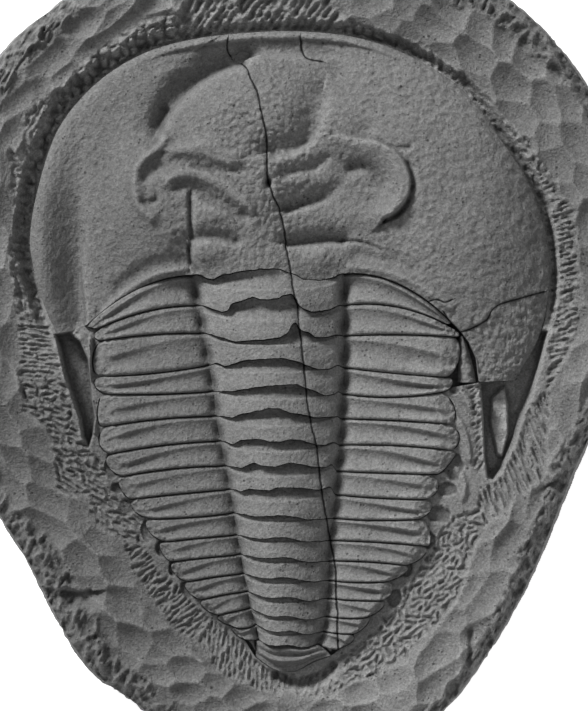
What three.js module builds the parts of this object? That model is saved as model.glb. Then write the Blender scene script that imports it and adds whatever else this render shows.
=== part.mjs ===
// Cambropallas trilobite on its slab of stone, back up, as prepared out of the rock.
// X runs across the animal, Y towards its head, Z up out of the slab. The slab stands on Z = 0.
import * as THREE from "three";

// Driving dimensions, in millimetres
const SLAB_WIDTH = 246.6;
const SLAB_LENGTH = 302.4;
const BED_HEIGHT = 22; // flat bed inside the moat that carries the fossil
const FIT_GAP = 0.3; // between the bed and a plate
const SEAM_GAP = 0.5; // between plates that follow each other, along the body
const RIM_HEIGHT = 32; // rock left standing, highest just inside the broken edge
const SHOULDER_HEIGHT = 28.4; // rock where it leaves the moat
const MOAT_FLOOR = 19; // bottom of the moat round the head
const TRENCH_FLOOR = 20.6; // bottom of the narrow trench beside the ribs
const EDGE_HEIGHT = 25; // top of the slab where its broken edge begins
const WAIST_HEIGHT = 15; // where the slab is widest
const MARGIN_HEIGHT = 27; // outer margin of the head shield
const HEAD_LIMIT = 39.6; // highest that any part of the head stands
const RING_HEIGHT = 39; // crest of the first axial ring
const LAST_RING_HEIGHT = 32.5;
const PLEURA_HEIGHT = 31; // crest of the first rib
const LAST_PLEURA_HEIGHT = 28.4;
const TIP_DROP = 3.6; // tips of the ribs below their crest
const FURROW_HEIGHT = 27.6; // axial furrows beside the first ring
const LAST_FURROW_HEIGHT = 25.6;
const TAIL_HEIGHT = 30; // crest of the tail shield
const TAIL_SIDE_HEIGHT = 25.4; // where the tail shield meets the last ribs
const SEGMENTS = 16;

// Counts that set how finely the solids are faceted
const STATIONS = 108; // round the slab
const HEAD_ROWS = 18; // from the back of the head shield to its front
const SIDE_SHARES = [1, 0.72, 0.42, 0.16]; // columns along a rib, tip to furrow
const RING_COLUMNS = 6; // spans across an axial ring
const FIELD_SHARES = [1, 0.7, 0.38]; // rings of the slab's surface, edge to moat
const MOAT_SHARES = [1, 0.72, 0.5, 0.34, 0.22, 0.13, 0.06]; // rings of the moat, rim to bed
const MOAT_REACH = 22; // how far the finer rings reach out from the fossil
const EDGE_RUN = 8; // width of the slope between the rim and the broken edge
const FIELD_WIDTH = 4; // least width left between the finer rings and the top edge
const BED_LIP = 1.1; // bed beyond the outline of the fossil
const EDGE_INSET = 3.4; // top edge of the slab inside its widest outline
const MOAT_FOOT = 1.7; // level ground between the fossil and the wall of the moat
const MOAT_WALL = 6; // width of the wall's slope round the head
const TRENCH_WALL = 2.6; // width of the wall's slope beside the ribs
const SHOULDER_FALL = 2.6; // how much lower the rock beside the tail is than beside the head
const SCOOP_COUNT = 130;

// Centre that the rings of the slab's surface are drawn round
const HUB = new THREE.Vector2(-2.7, 27);

// Outer edge of the slab, anticlockwise from the lower right, points in millimetres
const SLAB_POINTS = [
  [37, -137.5], [51.5, -125], [62, -113.5], [82.5, -81], [104.5, -30], [115.5, -7], [122, 16],
  [123.5, 43], [121, 67], [114.5, 90], [98.5, 117], [77.5, 137.5], [56, 146], [26, 151],
  [-10, 151.5], [-42.5, 150], [-69, 146.5], [-94, 131.5], [-111, 114], [-121, 72],
  [-123, 41.5], [-123.5, 12.5], [-114.5, -41.5], [-100, -67.5], [-82, -101], [-73, -111.5],
  [-58.5, -121.5], [-42.5, -137], [-24.5, -148], [-2.5, -151.5], [19, -147],
];

// Front of the head shield from the broken left cheek corner round to the broken right one
const HEAD_POINTS = [
  [-87, 15], [-92, 27], [-96, 43], [-96.5, 49.5], [-94, 65.5], [-87, 87.5], [-79, 99],
  [-68, 109], [-54.5, 116.5], [-38, 121], [-19, 123.5], [2.5, 124], [22.5, 121.5],
  [40.5, 115], [55.5, 106], [61, 101], [73, 85], [83, 70], [89, 53], [91, 34], [87.5, 14.5],
  [78.5, -2],
];

// Back margin of the head shield outside the first rib, left side and right side
const LEFT_CORNER = [[-87, 15], [-81, 16]];
const RIGHT_CORNER = [[59, 15.5], [62, 11.5], [64.5, 6], [65.5, -2.5], [78.5, -2]];

// Where the columns of the head shield leave its back margin and meet its front
const HEAD_ANCHORS = [
  [[-87, 15], [-87, 15]],
  [[-76, 18], [-95.5, 57.5]],
  [[-56.5, 31.5], [-79, 99]],
  [[-38, 36], [-50, 118]],
  [[17, 36.5], [31.5, 119]],
  [[36, 33], [61, 101]],
  [[54.5, 20], [86, 62]],
  [[64.5, 6], [90.5, 22]],
  [[78.5, -2], [78.5, -2]],
];

// Seams across the body, head to tail: left tip, left middle, left furrow, right furrow,
// right middle, right tip
const SEAMS = [
  [[-76, 18], [-56.5, 31.5], [-38, 36], [17, 36.5], [36, 33], [54.5, 20]],
  [[-72, 16.5], [-54, 23], [-36, 25], [17, 25], [36, 24.5], [54, 18]],
  [[-72, 12], [-52.5, 14.5], [-34, 15], [17, 14], [37, 14.5], [58.5, 13.5]],
  [[-73, -0.5], [-52.5, 0.5], [-32, 3.5], [17, 2.5], [36, 0.5], [55.5, -1]],
  [[-70.5, -7], [-50, -7], [-30.5, -6], [16.5, -7], [35.5, -8], [53.5, -6]],
  [[-71, -19], [-50, -16], [-29.5, -15], [16, -16], [36, -16.5], [57, -18]],
  [[-69.5, -29], [-49, -25.5], [-28, -24], [15.5, -25.5], [36, -25.5], [57, -27.5]],
  [[-64.5, -37], [-46, -34], [-26, -33], [14.5, -35], [33.5, -35.5], [50.5, -36]],
  [[-60.5, -45], [-43, -43], [-24.5, -41.5], [14, -43.5], [30.5, -44.5], [48.5, -45]],
  [[-55.5, -52], [-39.5, -51.5], [-23, -50], [13, -52], [29, -52.5], [45.5, -52]],
  [[-49.5, -60.5], [-36, -59], [-22, -58], [11.5, -60], [30.5, -60.5], [47.5, -62]],
  [[-46, -67.5], [-32.5, -66], [-20.5, -65], [11.5, -67.5], [25.5, -67.5], [40.5, -69]],
  [[-41, -75], [-30, -73], [-19.5, -72], [11.5, -74.5], [22.5, -75], [34, -74.5]],
  [[-35.5, -81.5], [-27, -79.5], [-18, -78.5], [11, -81], [21, -81.5], [32, -81.5]],
  [[-29.5, -87], [-23, -85.5], [-17, -84.5], [10.5, -87.5], [18, -88], [26, -87.5]],
  [[-23.5, -91], [-18.5, -91.5], [-15, -90.5], [9.5, -93], [15.5, -93.5], [21, -93.5]],
  [[-19.5, -95.5], [-16.5, -96], [-14, -96], [7.5, -97.5], [11.5, -99], [16, -99]],
];
const SEAM_SAG = [2.6, 1.4]; // how far a seam bows back across the axis, first and last
const TAIL_POINTS = [[-15, -102], [-8, -106.5], [-1, -107], [6, -103.5], [12, -101.5]];

// Broad swells of the head: centre, reach to the left, right, front and back, and height
const HEAD_SWELLS = {
  leftCheek: { x: -46, y: 62, left: 21, right: 26, front: 24, back: 22, height: 9.6 },
  rightCheek: { x: 58, y: 54, left: 24, right: 26, front: 40, back: 46, height: 9.8 },
  frontCheek: { x: 34, y: 88, left: 22, right: 26, front: 25, back: 26, height: 5.6 },
  frontalLobe: { x: -15, y: 92, left: 25, right: 22, front: 18, back: 27, height: 9.6 },
  glabella: { x: -18, y: 50, left: 17, right: 18, front: 30, back: 30, height: 4.6 },
  occiput: { x: -10, y: 33, left: 22, right: 21, front: 13, back: 20, height: 4.4 },
  leftBorder: { x: -91, y: 44, left: 5, right: 8, front: 27, back: 30, height: 2.4 },
  leftValley: { x: -79.5, y: 42, left: 8, right: 2.6, front: 25, back: 30, height: -3.6 },
};
const BORDER_RISE = 1.4; // from the outer margin up to the border
const BORDER_RUN = 2; // width of that rise
const FRONT_RIM = { inset: 1.2, width: 1.6, height: 0.9 }; // roll along the front margin
const FRONT_TROUGH = { inset: 5.5, width: 3, height: -1.2 }; // hollow inside that roll
const EYE_LOBE = { width: 2.6, height: 2.6 };
const LOBE_FURROW = { width: 1.9, height: -1.5 };
const LOBE_TROUGH = { width: 3.4, height: -2.6 }; // hollow in front of the left eye
const LEFT_EYE = [[-49, 85.5], [-58, 76.5], [-59.5, 69.5], [-56.5, 59.5], [-52.5, 56]];
const RIGHT_EYE = [[19.5, 85.5], [34, 80.5], [40, 69], [38.5, 62.5], [30.5, 56]];
const HEAD_FURROWS = [
  [[-4.5, 70.5], [8.5, 75.5]], [[-1, 62.5], [12, 66.5]], [[0, 49.5], [15.5, 50]],
  [[-36.5, 75.5], [-24.5, 71]], [[-42, 67.5], [-24, 60.5]], [[-36, 51], [-28, 50]],
];
const FRONT_FURROW = [[-50.5, 85], [-49.5, 91], [-47, 97.5], [-42, 103.5], [-34, 109], [-22, 114]];

// Voids beside the body where the cheek spines broke away: two ends and their half widths
const LEFT_VOID = { from: [-82, 12], to: [-75.5, -25], wide: 4.6, narrow: 1.4 };
const RIGHT_VOID = { from: [77, -5], to: [71, -36], wide: 7, narrow: 1.6 };
const VOID_FLOOR = 12;

// Stone colours
const MATRIX_COLOUR = 0x6c6c6b;
const FOSSIL_COLOUR = 0x7a7a79;

const smooth = (from, to, value) => THREE.MathUtils.smoothstep(value, from, to);
const mix = THREE.MathUtils.lerp;
const bell = (distance, width) => Math.exp(-((distance / width) ** 2));
const planar = ([x, y]) => new THREE.Vector2(x, y);

// Repeatable numbers between 0 and 1
function makeDice(seed) {
  let state = seed;
  return () => {
    state = (state * 48271) % 2147483647;
    return state / 2147483647;
  };
}

// Points spaced evenly along a smooth curve through the given ones
function traceCurve(points, count, closed = false) {
  const knots = points.map(([x, y]) => new THREE.Vector3(x, y, 0));
  const curve = new THREE.CatmullRomCurve3(knots, closed, "centripetal");
  const traced = curve.getSpacedPoints(count).map((p) => new THREE.Vector2(p.x, p.y));
  return closed ? traced.slice(0, -1) : traced;
}

function distanceToSpan(point, a, b) {
  const along = b.clone().sub(a);
  const share = point.clone().sub(a).dot(along) / Math.max(along.lengthSq(), 1e-9);
  return point.distanceTo(along.multiplyScalar(THREE.MathUtils.clamp(share, 0, 1)).add(a));
}

function distanceToPath(point, path, closed = false) {
  let nearest = Infinity;
  const spans = closed ? path.length : path.length - 1;
  for (let i = 0; i < spans; i += 1) {
    nearest = Math.min(nearest, distanceToSpan(point, path[i], path[(i + 1) % path.length]));
  }
  return nearest;
}

// Farthest distance from the hub to a loop in one direction
function reachOf(loop, angle) {
  const ray = new THREE.Vector2(Math.cos(angle), Math.sin(angle));
  let farthest = 0;
  loop.forEach((start, i) => {
    const a = start.clone().sub(HUB);
    const b = loop[(i + 1) % loop.length].clone().sub(HUB);
    const edge = b.clone().sub(a);
    const across = ray.x * edge.y - ray.y * edge.x;
    const share = across === 0 ? -1 : (a.y * ray.x - a.x * ray.y) / -across;
    if (share >= 0 && share <= 1) {
      farthest = Math.max(farthest, a.add(edge.multiplyScalar(share)).dot(ray));
    }
  });
  return farthest;
}

// A closed solid from corner points and triangles, with coincident corners joined
function makeSolid(corners, triangles) {
  const places = new Map();
  const positions = [];
  const joined = corners.map((corner) => {
    const key = corner.toArray().map((value) => Math.round(value * 1000)).join(" ");
    if (!places.has(key)) {
      places.set(key, positions.length / 3);
      positions.push(corner.x, corner.y, corner.z);
    }
    return places.get(key);
  });
  const index = triangles
    .map((triangle) => triangle.map((corner) => joined[corner]))
    .filter(([a, b, c]) => a !== b && b !== c && c !== a);
  const geometry = new THREE.BufferGeometry();
  geometry.setAttribute("position", new THREE.Float32BufferAttribute(positions, 3));
  geometry.setIndex(index.flat());
  geometry.computeVertexNormals();
  return geometry;
}

// A plate with a sculpted top and a flat underside. Rows run back to front, each left to right.
function makePlate(rows, underside) {
  const columns = rows[0].length;
  const corners = rows.flat();
  const triangles = [];
  const quad = (a, b, c, d) => triangles.push([a, b, c], [a, c, d]);
  const below = (corner) => {
    corners.push(new THREE.Vector3(corner.x, corner.y, underside));
    return corners.length - 1;
  };
  const top = (row, column) => row * columns + column;
  const last = rows.length - 1;
  const lowRows = rows.map((row, r) =>
    row.map((corner, c) => (r % last && c % (columns - 1) ? -1 : below(corner))),
  );
  for (let r = 0; r < last; r += 1) {
    for (let c = 0; c < columns - 1; c += 1) {
      quad(top(r, c), top(r, c + 1), top(r + 1, c + 1), top(r + 1, c));
    }
    quad(top(r + 1, 0), lowRows[r + 1][0], lowRows[r][0], top(r, 0));
    const end = columns - 1;
    quad(top(r, end), lowRows[r][end], lowRows[r + 1][end], top(r + 1, end));
  }
  for (let c = 0; c < columns - 1; c += 1) {
    quad(top(0, c), lowRows[0][c], lowRows[0][c + 1], top(0, c + 1));
    quad(top(last, c + 1), lowRows[last][c + 1], lowRows[last][c], top(last, c));
  }
  for (let c = 1; c < columns - 2; c += 1) {
    quad(lowRows[0][c + 1], lowRows[0][c], lowRows[last][c], lowRows[last][c + 1]);
  }
  closeEnd(lowRows.map((row) => row[0]), lowRows[0][1], lowRows[last][1], triangles, false);
  closeEnd(lowRows.map((row) => row[columns - 1]), lowRows[0][columns - 2],
    lowRows[last][columns - 2], triangles, true);
  return makeSolid(corners, triangles);
}

// The underside's share between an end column and its neighbour, which has only two corners
function closeEnd(endColumn, nearBack, nearFront, triangles, mirrored) {
  const push = (a, b, c) => triangles.push(mirrored ? [a, c, b] : [a, b, c]);
  for (let r = 0; r < endColumn.length - 1; r += 1) {
    push(nearBack, endColumn[r], endColumn[r + 1]);
  }
  push(nearBack, endColumn[endColumn.length - 1], nearFront);
}

// A solid wrapped round the hub from a stack of rings, with a corner at each pole
function makeWrapped(rings, lowPole, highPole) {
  const corners = [lowPole, ...rings.flat(), highPole];
  const triangles = [];
  const at = (ring, station) => 1 + ring * STATIONS + (station % STATIONS);
  for (let s = 0; s < STATIONS; s += 1) {
    triangles.push([0, at(0, s + 1), at(0, s)]);
    for (let r = 0; r < rings.length - 1; r += 1) {
      triangles.push([at(r, s), at(r, s + 1), at(r + 1, s + 1)]);
      triangles.push([at(r, s), at(r + 1, s + 1), at(r + 1, s)]);
    }
    triangles.push([at(rings.length - 1, s), at(rings.length - 1, s + 1), corners.length - 1]);
  }
  return makeSolid(corners, triangles);
}

// A value that a curve through three points has at x
function bowAt([x0, y0], [x1, y1], [x2, y2], x) {
  const first = (y0 * (x - x1) * (x - x2)) / ((x0 - x1) * (x0 - x2));
  const second = (y1 * (x - x0) * (x - x2)) / ((x1 - x0) * (x1 - x2));
  const third = (y2 * (x - x0) * (x - x1)) / ((x2 - x0) * (x2 - x1));
  return first + second + third;
}

// Corners of one seam from its left tip to its right tip
function traceSeam(number) {
  const [leftTip, leftMiddle, leftFurrow, rightFurrow, rightMiddle, rightTip] = SEAMS[number];
  const sag = mix(SEAM_SAG[0], SEAM_SAG[1], number / SEGMENTS);
  const seam = [];
  for (const share of SIDE_SHARES) {
    const x = mix(leftFurrow[0], leftTip[0], share);
    seam.push(new THREE.Vector2(x, bowAt(leftTip, leftMiddle, leftFurrow, x)));
  }
  for (let c = 0; c <= RING_COLUMNS; c += 1) {
    const share = c / RING_COLUMNS;
    const dip = number === 0 ? 0 : sag * 4 * share * (1 - share);
    const y = mix(leftFurrow[1], rightFurrow[1], share) - dip;
    seam.push(new THREE.Vector2(mix(leftFurrow[0], rightFurrow[0], share), y));
  }
  for (const share of [...SIDE_SHARES].reverse()) {
    const x = mix(rightFurrow[0], rightTip[0], share);
    seam.push(new THREE.Vector2(x, bowAt(rightFurrow, rightMiddle, rightTip, x)));
  }
  return seam;
}

const seams = SEAMS.map((_, number) => traceSeam(number));
const slabLoop = fitSlabLoop();
const fossilLoop = traceFossilLoop();

// The slab's edge, drawn to its exact width and length
function fitSlabLoop() {
  const loop = traceCurve(SLAB_POINTS, 4 * STATIONS, true);
  const box = new THREE.Box2().setFromPoints(loop);
  const size = box.getSize(new THREE.Vector2());
  const centre = box.getCenter(new THREE.Vector2());
  const scale = new THREE.Vector2(SLAB_WIDTH, SLAB_LENGTH).divide(size);
  return loop.map((point) => point.clone().sub(centre).multiply(scale));
}

// The whole animal seen from above: head shield, rib tips and tail
function traceFossilLoop() {
  const leftTips = seams.map((seam) => seam[0].clone().add(planar([-1.2, 0])));
  const rightTips = seams.map((seam) => seam[seam.length - 1].clone().add(planar([1.2, 0])));
  return [
    ...traceCurve(HEAD_POINTS, 80),
    planar(RIGHT_CORNER[3]),
    ...rightTips.slice(3),
    ...TAIL_POINTS.map(planar).reverse(),
    ...leftTips.slice(1).reverse(),
  ];
}

// Height of a segment's crest along its columns, and how its profile runs front to back
function segmentHeight(number, column, along) {
  const fade = (number - 1) / (SEGMENTS - 1);
  const ringStart = SIDE_SHARES.length;
  const ringEnd = ringStart + RING_COLUMNS;
  const furrow = mix(FURROW_HEIGHT, LAST_FURROW_HEIGHT, fade);
  if (column >= ringStart && column <= ringEnd) {
    const share = (column - ringStart) / RING_COLUMNS;
    const arch = 1 - Math.abs(2 * share - 1) ** 2.4;
    const crest = mix(furrow, mix(RING_HEIGHT, LAST_RING_HEIGHT, fade ** 1.3), arch);
    const halfRing = mix(1, 0.55, arch);
    const profile = [mix(halfRing, 1, 0.75), 1, mix(halfRing, 1, 0.6), halfRing, halfRing];
    return mix(BED_HEIGHT, crest, profile[along]);
  }
  const fromLeft = column < ringStart;
  const share = fromLeft ? SIDE_SHARES[column] : SIDE_SHARES[2 * ringStart + RING_COLUMNS - column];
  const crest = mix(PLEURA_HEIGHT, LAST_PLEURA_HEIGHT, fade) - TIP_DROP * share ** 3;
  const height = mix(furrow, crest, smooth(0, 0.3, share));
  const drops = [0.9, 0, 0.7, 0.2, 1.3];
  return height - drops[along] * mix(1, 0.6, fade);
}

// One thoracic segment: a ring across the axis and a rib to each side, as a single plate
function makeSegment(number) {
  const front = seams[number - 1].map((p) => p.clone().add(planar([0, -SEAM_GAP / 2])));
  const back = seams[number].map((p) => p.clone().add(planar([0, SEAM_GAP / 2])));
  const shares = [0, 0.3, 0.58, 0.8, 1];
  const rows = shares.map((share, along) =>
    front.map((point, column) => {
      const place = back[column].clone().lerp(point, share);
      return new THREE.Vector3(place.x, place.y, segmentHeight(number, column, along));
    }),
  );
  const last = front.length - 1;
  const tipped = rows.map((row, along) => [
    makeTip(rows[0][0], rows[4][0], shares[along], -1),
    ...row,
    makeTip(rows[0][last], rows[4][last], shares[along], 1),
  ]);
  return makePlate(tipped, BED_HEIGHT);
}

// A corner of the blunt tip that closes a rib
function makeTip(back, front, share, side) {
  const span = Math.abs(front.y - back.y);
  const tip = back.clone().lerp(front, mix(0.25, 0.75, share));
  tip.x += side * Math.min(1.6, 0.3 * span);
  tip.z = mix(BED_HEIGHT, Math.min(back.z, front.z), 0.75);
  return tip;
}

// Back margin of the head shield, left corner to right corner, in step with the first seam
function traceHeadBack() {
  const knots = [
    ...LEFT_CORNER.map(planar),
    ...seams[0].map((point) => point.clone().add(planar([0, SEAM_GAP / 2]))),
    ...RIGHT_CORNER.map(planar),
  ];
  const back = [knots[0]];
  for (let i = 1; i < knots.length; i += 1) {
    const parts = knots[i].distanceTo(knots[i - 1]) > 4.4 ? 2 : 1;
    for (let part = 1; part <= parts; part += 1) {
      back.push(knots[i - 1].clone().lerp(knots[i], part / parts));
    }
  }
  return back;
}

// How far along a path the place nearest to a point lies, from 0 to 1
function shareAlong(path, point) {
  const lengths = [0];
  path.slice(1).forEach((p, i) => lengths.push(lengths[i] + p.distanceTo(path[i])));
  const distances = path.map((p) => p.distanceTo(point));
  return lengths[distances.indexOf(Math.min(...distances))] / lengths[lengths.length - 1];
}

// The front of the head shield, one point for each point of its back margin
function matchHeadFront(back) {
  const front = traceCurve(HEAD_POINTS, 400);
  const anchors = HEAD_ANCHORS.map(([b, f]) => [
    shareAlong(back, planar(b)),
    shareAlong(front, planar(f)),
  ]);
  return back.map((point) => {
    const share = shareAlong(back, point);
    let i = 0;
    while (i < anchors.length - 2 && share > anchors[i + 1][0]) {
      i += 1;
    }
    const [from, to] = [anchors[i], anchors[i + 1]];
    const target = mix(from[1], to[1], (share - from[0]) / (to[0] - from[0]));
    return front[Math.round(target * (front.length - 1))];
  });
}

const headFront = traceCurve(HEAD_POINTS, 120);
const eyes = [LEFT_EYE, RIGHT_EYE].map((points) => traceCurve(points, 24));

// How much a swell lifts a place
function liftOf(swell, x, y) {
  const across = (x - swell.x) / (x < swell.x ? swell.left : swell.right);
  const along = (y - swell.y) / (y < swell.y ? swell.back : swell.front);
  return swell.height * Math.exp(-(Math.hypot(across, along) ** 2.2));
}

// How much a ridge or furrow along a path lifts a place
function foldAt(point, path, { width, height }) {
  return height * bell(distanceToPath(point, path), width);
}

// Height of the head shield's surface
function headHeight(x, y) {
  const point = new THREE.Vector2(x, y);
  const margin = distanceToPath(point, headFront);
  const frontness = smooth(70, 112, y);
  let z = MARGIN_HEIGHT + BORDER_RISE * (1 - Math.exp(-margin / BORDER_RUN));
  for (const { inset, width, height } of [FRONT_RIM, FRONT_TROUGH]) {
    z += height * bell(margin - inset, width) * frontness;
  }
  for (const swell of Object.values(HEAD_SWELLS)) {
    z += liftOf(swell, x, y);
  }
  for (const eye of eyes) {
    z += foldAt(point, eye, EYE_LOBE);
  }
  for (const furrow of HEAD_FURROWS) {
    z += foldAt(point, furrow.map(planar), LOBE_FURROW);
  }
  z += foldAt(point, FRONT_FURROW.map(planar), LOBE_TROUGH);
  return Math.min(z, HEAD_LIMIT);
}

// The head shield, one plate from its back margin to its front
function makeHead() {
  const back = traceHeadBack();
  const front = matchHeadFront(back);
  const rows = [];
  for (let r = 0; r <= HEAD_ROWS; r += 1) {
    const share = 1 - (1 - r / HEAD_ROWS) ** 1.25;
    rows.push(back.map((point, column) => {
      const place = point.clone().lerp(front[column], share);
      return new THREE.Vector3(place.x, place.y, headHeight(place.x, place.y));
    }));
  }
  return makePlate(rows, BED_HEIGHT);
}

// The small tail shield behind the last segment
function makeTail() {
  const front = seams[SEGMENTS].slice(3, -3).map((p) => p.clone().add(planar([0, -SEAM_GAP / 2])));
  const back = traceCurve(TAIL_POINTS, front.length - 1);
  const heights = [-3.4, -1, -2.4, -4];
  const rows = heights.map((drop, r) =>
    front.map((point, column) => {
      const place = back[column].clone().lerp(point, r / (heights.length - 1));
      const arch = 1 - Math.abs((2 * column) / (front.length - 1) - 1) ** 2;
      return new THREE.Vector3(place.x, place.y, mix(TAIL_SIDE_HEIGHT, TAIL_HEIGHT + drop, arch));
    }),
  );
  return makePlate(rows, BED_HEIGHT);
}

// How deep one of the side voids cuts at a point, as a share from 0 to 1
function voidShare(point, { from, to, wide, narrow }) {
  const [start, end] = [planar(from), planar(to)];
  const along = end.clone().sub(start);
  const share = THREE.MathUtils.clamp(
    point.clone().sub(start).dot(along) / along.lengthSq(), 0, 1);
  const reach = point.distanceTo(start.clone().lerp(end, share));
  return 1 - smooth(0, 3, reach - mix(wide, narrow, share));
}

// Scoops that the gouge left on the slab, as centres with a radius and a depth
function placeScoops() {
  const dice = makeDice(4104);
  const scoops = [];
  for (let i = 0; i < SCOOP_COUNT; i += 1) {
    const angle = dice() * 2 * Math.PI;
    const share = 0.35 + 0.6 * dice();
    const reach = mix(reachOf(fossilLoop, angle), reachOf(slabLoop, angle), share);
    const centre = new THREE.Vector2(Math.cos(angle), Math.sin(angle)).multiplyScalar(reach);
    scoops.push({ centre: centre.add(HUB), radius: 6 + 5 * dice(), depth: 1.4 + 1.8 * dice() });
  }
  return scoops;
}

const scoops = placeScoops();

// Height of the rock outside the fossil
function rockHeight(point) {
  const fromFossil = distanceToPath(point, fossilLoop, true);
  const fromEdge = distanceToPath(point, slabLoop, true);
  const headness = smooth(8, 30, point.y);
  const floor = mix(TRENCH_FLOOR, MOAT_FLOOR, headness);
  const beside = SHOULDER_HEIGHT - SHOULDER_FALL * (1 - smooth(-100, 0, point.y));
  const shoulder = mix(beside, SHOULDER_HEIGHT, headness);
  const run = mix(TRENCH_WALL, MOAT_WALL, headness);
  const wide = Math.max(fromFossil + fromEdge - EDGE_RUN - run, 1);
  const bowl = mix(shoulder, RIM_HEIGHT, THREE.MathUtils.clamp((fromFossil - run) / wide, 0, 1));
  let z = mix(floor, bowl, smooth(MOAT_FOOT, MOAT_FOOT + run, fromFossil));
  z = mix(EDGE_HEIGHT, z, smooth(0, EDGE_RUN, fromEdge));
  let scooped = 0;
  for (const { centre, radius, depth } of scoops) {
    const reach = point.distanceTo(centre) / radius;
    scooped = Math.max(scooped, depth * Math.max(0, 1 - reach * reach));
  }
  z -= scooped * smooth(8, 14, fromFossil);
  const hollow = Math.max(voidShare(point, LEFT_VOID), voidShare(point, RIGHT_VOID));
  return mix(z, VOID_FLOOR, hollow);
}

// A list round the slab with each value replaced by one worked out over its neighbours
function spreadOver(values, width, combine) {
  return values.map((_, s) => {
    const near = [];
    for (let step = -width; step <= width; step += 1) {
      near.push(values[(s + step + values.length) % values.length]);
    }
    return combine(near);
  });
}

// Directions of the stations round the hub, closer together at the broken cheek corners
function placeStations() {
  const corners = [LEFT_CORNER[0], RIGHT_CORNER[4]].map(([x, y]) =>
    (Math.atan2(y - HUB.y, x - HUB.x) + 2 * Math.PI) % (2 * Math.PI));
  const density = (angle) => 1 + corners.reduce((sum, c) => sum + 3 * bell(angle - c, 0.12), 0);
  const fine = 3600;
  const totals = [0];
  for (let i = 0; i < fine; i += 1) {
    totals.push(totals[i] + density((i / fine) * 2 * Math.PI));
  }
  return Array.from({ length: STATIONS }, (_, s) => {
    const wanted = (s / STATIONS) * totals[fine];
    return (totals.findIndex((total) => total >= wanted) / fine) * 2 * Math.PI;
  });
}

// How far the fossil reaches from the hub round a station, halfway to its neighbours too
function reachBetween(angles, s) {
  const turn = 2 * Math.PI;
  const ahead = s + 1 < STATIONS ? angles[s + 1] : angles[0] + turn;
  const behind = s > 0 ? angles[s - 1] : angles[STATIONS - 1] - turn;
  const near = [angles[s], mix(angles[s], ahead, 0.55), mix(angles[s], behind, 0.55)];
  return Math.max(...near.map((angle) => reachOf(fossilLoop, angle)));
}

// The slab of stone: broken sides, scooped top, moat and the flat bed under the fossil
function makeMatrix() {
  const angles = placeStations();
  const place = (angle, reach, z) => new THREE.Vector3(
    HUB.x + reach * Math.cos(angle), HUB.y + reach * Math.sin(angle), z);
  const side = (inset, z) => angles.map((a) => place(a, reachOf(slabLoop, a) - inset, z));
  const rings = [side(5, 0), side(1.6, 6), side(0, WAIST_HEIGHT), side(1.2, 21)];
  const flatBed = BED_HEIGHT - FIT_GAP;
  const inner = angles.map((_, s) => reachBetween(angles, s) + BED_LIP);
  const foot = spreadOver(inner, 5, (values) => Math.max(...values));
  const middle = spreadOver(foot, 7, (values) => values.reduce((a, b) => a + b) / values.length);
  const edge = angles.map((a) => reachOf(slabLoop, a) - EDGE_INSET);
  const brow = middle.map((reach, s) => Math.min(reach + MOAT_REACH, edge[s] - FIELD_WIDTH));
  const addRing = (reachAt) => rings.push(angles.map((angle, s) => {
    const point = place(angle, reachAt(s), 0);
    return point.setZ(rockHeight(new THREE.Vector2(point.x, point.y)));
  }));
  for (const share of FIELD_SHARES) {
    addRing((s) => mix(brow[s], edge[s], share));
  }
  for (const share of MOAT_SHARES) {
    addRing((s) => mix(inner[s], brow[s], share));
  }
  rings.push(angles.map((angle, s) => place(angle, inner[s], flatBed)));
  return makeWrapped(rings, new THREE.Vector3(HUB.x, HUB.y, 0),
    new THREE.Vector3(HUB.x, HUB.y, flatBed));
}

// Finishes
function dryStone() {
  return new THREE.MeshStandardMaterial({ color: MATRIX_COLOUR, roughness: 0.94, metalness: 0 });
}

function fossilShell() {
  return new THREE.MeshStandardMaterial({ color: FOSSIL_COLOUR, roughness: 0.86, metalness: 0 });
}

function addPiece(group, name, geometry, material) {
  const mesh = new THREE.Mesh(geometry, material);
  mesh.name = name;
  group.add(mesh);
}

const trilobite = new THREE.Group();
addPiece(trilobite, "matrix", makeMatrix(), dryStone());
addPiece(trilobite, "cephalon", makeHead(), fossilShell());
for (let number = 1; number <= SEGMENTS; number += 1) {
  const name = `thoracic_segment_${String(number).padStart(2, "0")}`;
  addPiece(trilobite, name, makeSegment(number), fossilShell());
}
addPiece(trilobite, "pygidium", makeTail(), fossilShell());

export default trilobite;
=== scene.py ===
"""Cambropallas trilobite, back up on its prepared slab of stone.

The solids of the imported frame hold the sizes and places. This script dresses them: every plate of
the animal and the slab under it are rebuilt as fine meshes with the relief of the real specimen.
Lengths inside the script are millimetres until a mesh is made, where they become metres.
"""
import logging
import math
from dataclasses import dataclass, field
from enum import Enum
from typing import ClassVar

import bpy
import numpy as np
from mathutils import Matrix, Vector


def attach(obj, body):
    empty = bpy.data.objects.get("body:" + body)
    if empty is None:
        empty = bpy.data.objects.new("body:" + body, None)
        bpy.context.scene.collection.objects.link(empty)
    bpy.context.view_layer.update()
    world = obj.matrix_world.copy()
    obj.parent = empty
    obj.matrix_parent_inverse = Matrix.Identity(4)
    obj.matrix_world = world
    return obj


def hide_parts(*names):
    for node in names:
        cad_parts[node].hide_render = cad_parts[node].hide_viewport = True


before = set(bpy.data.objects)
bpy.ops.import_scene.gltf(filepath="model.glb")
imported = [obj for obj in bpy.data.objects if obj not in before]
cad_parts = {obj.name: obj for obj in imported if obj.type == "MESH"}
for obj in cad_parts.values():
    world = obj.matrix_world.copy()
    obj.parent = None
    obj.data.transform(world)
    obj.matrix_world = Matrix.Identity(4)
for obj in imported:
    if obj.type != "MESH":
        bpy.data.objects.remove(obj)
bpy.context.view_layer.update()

MM = 0.001
LOG = logging.getLogger("trilobite")
Points = tuple[tuple[float, float], ...]
Array = np.ndarray
Socket = bpy.types.NodeSocket

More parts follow.
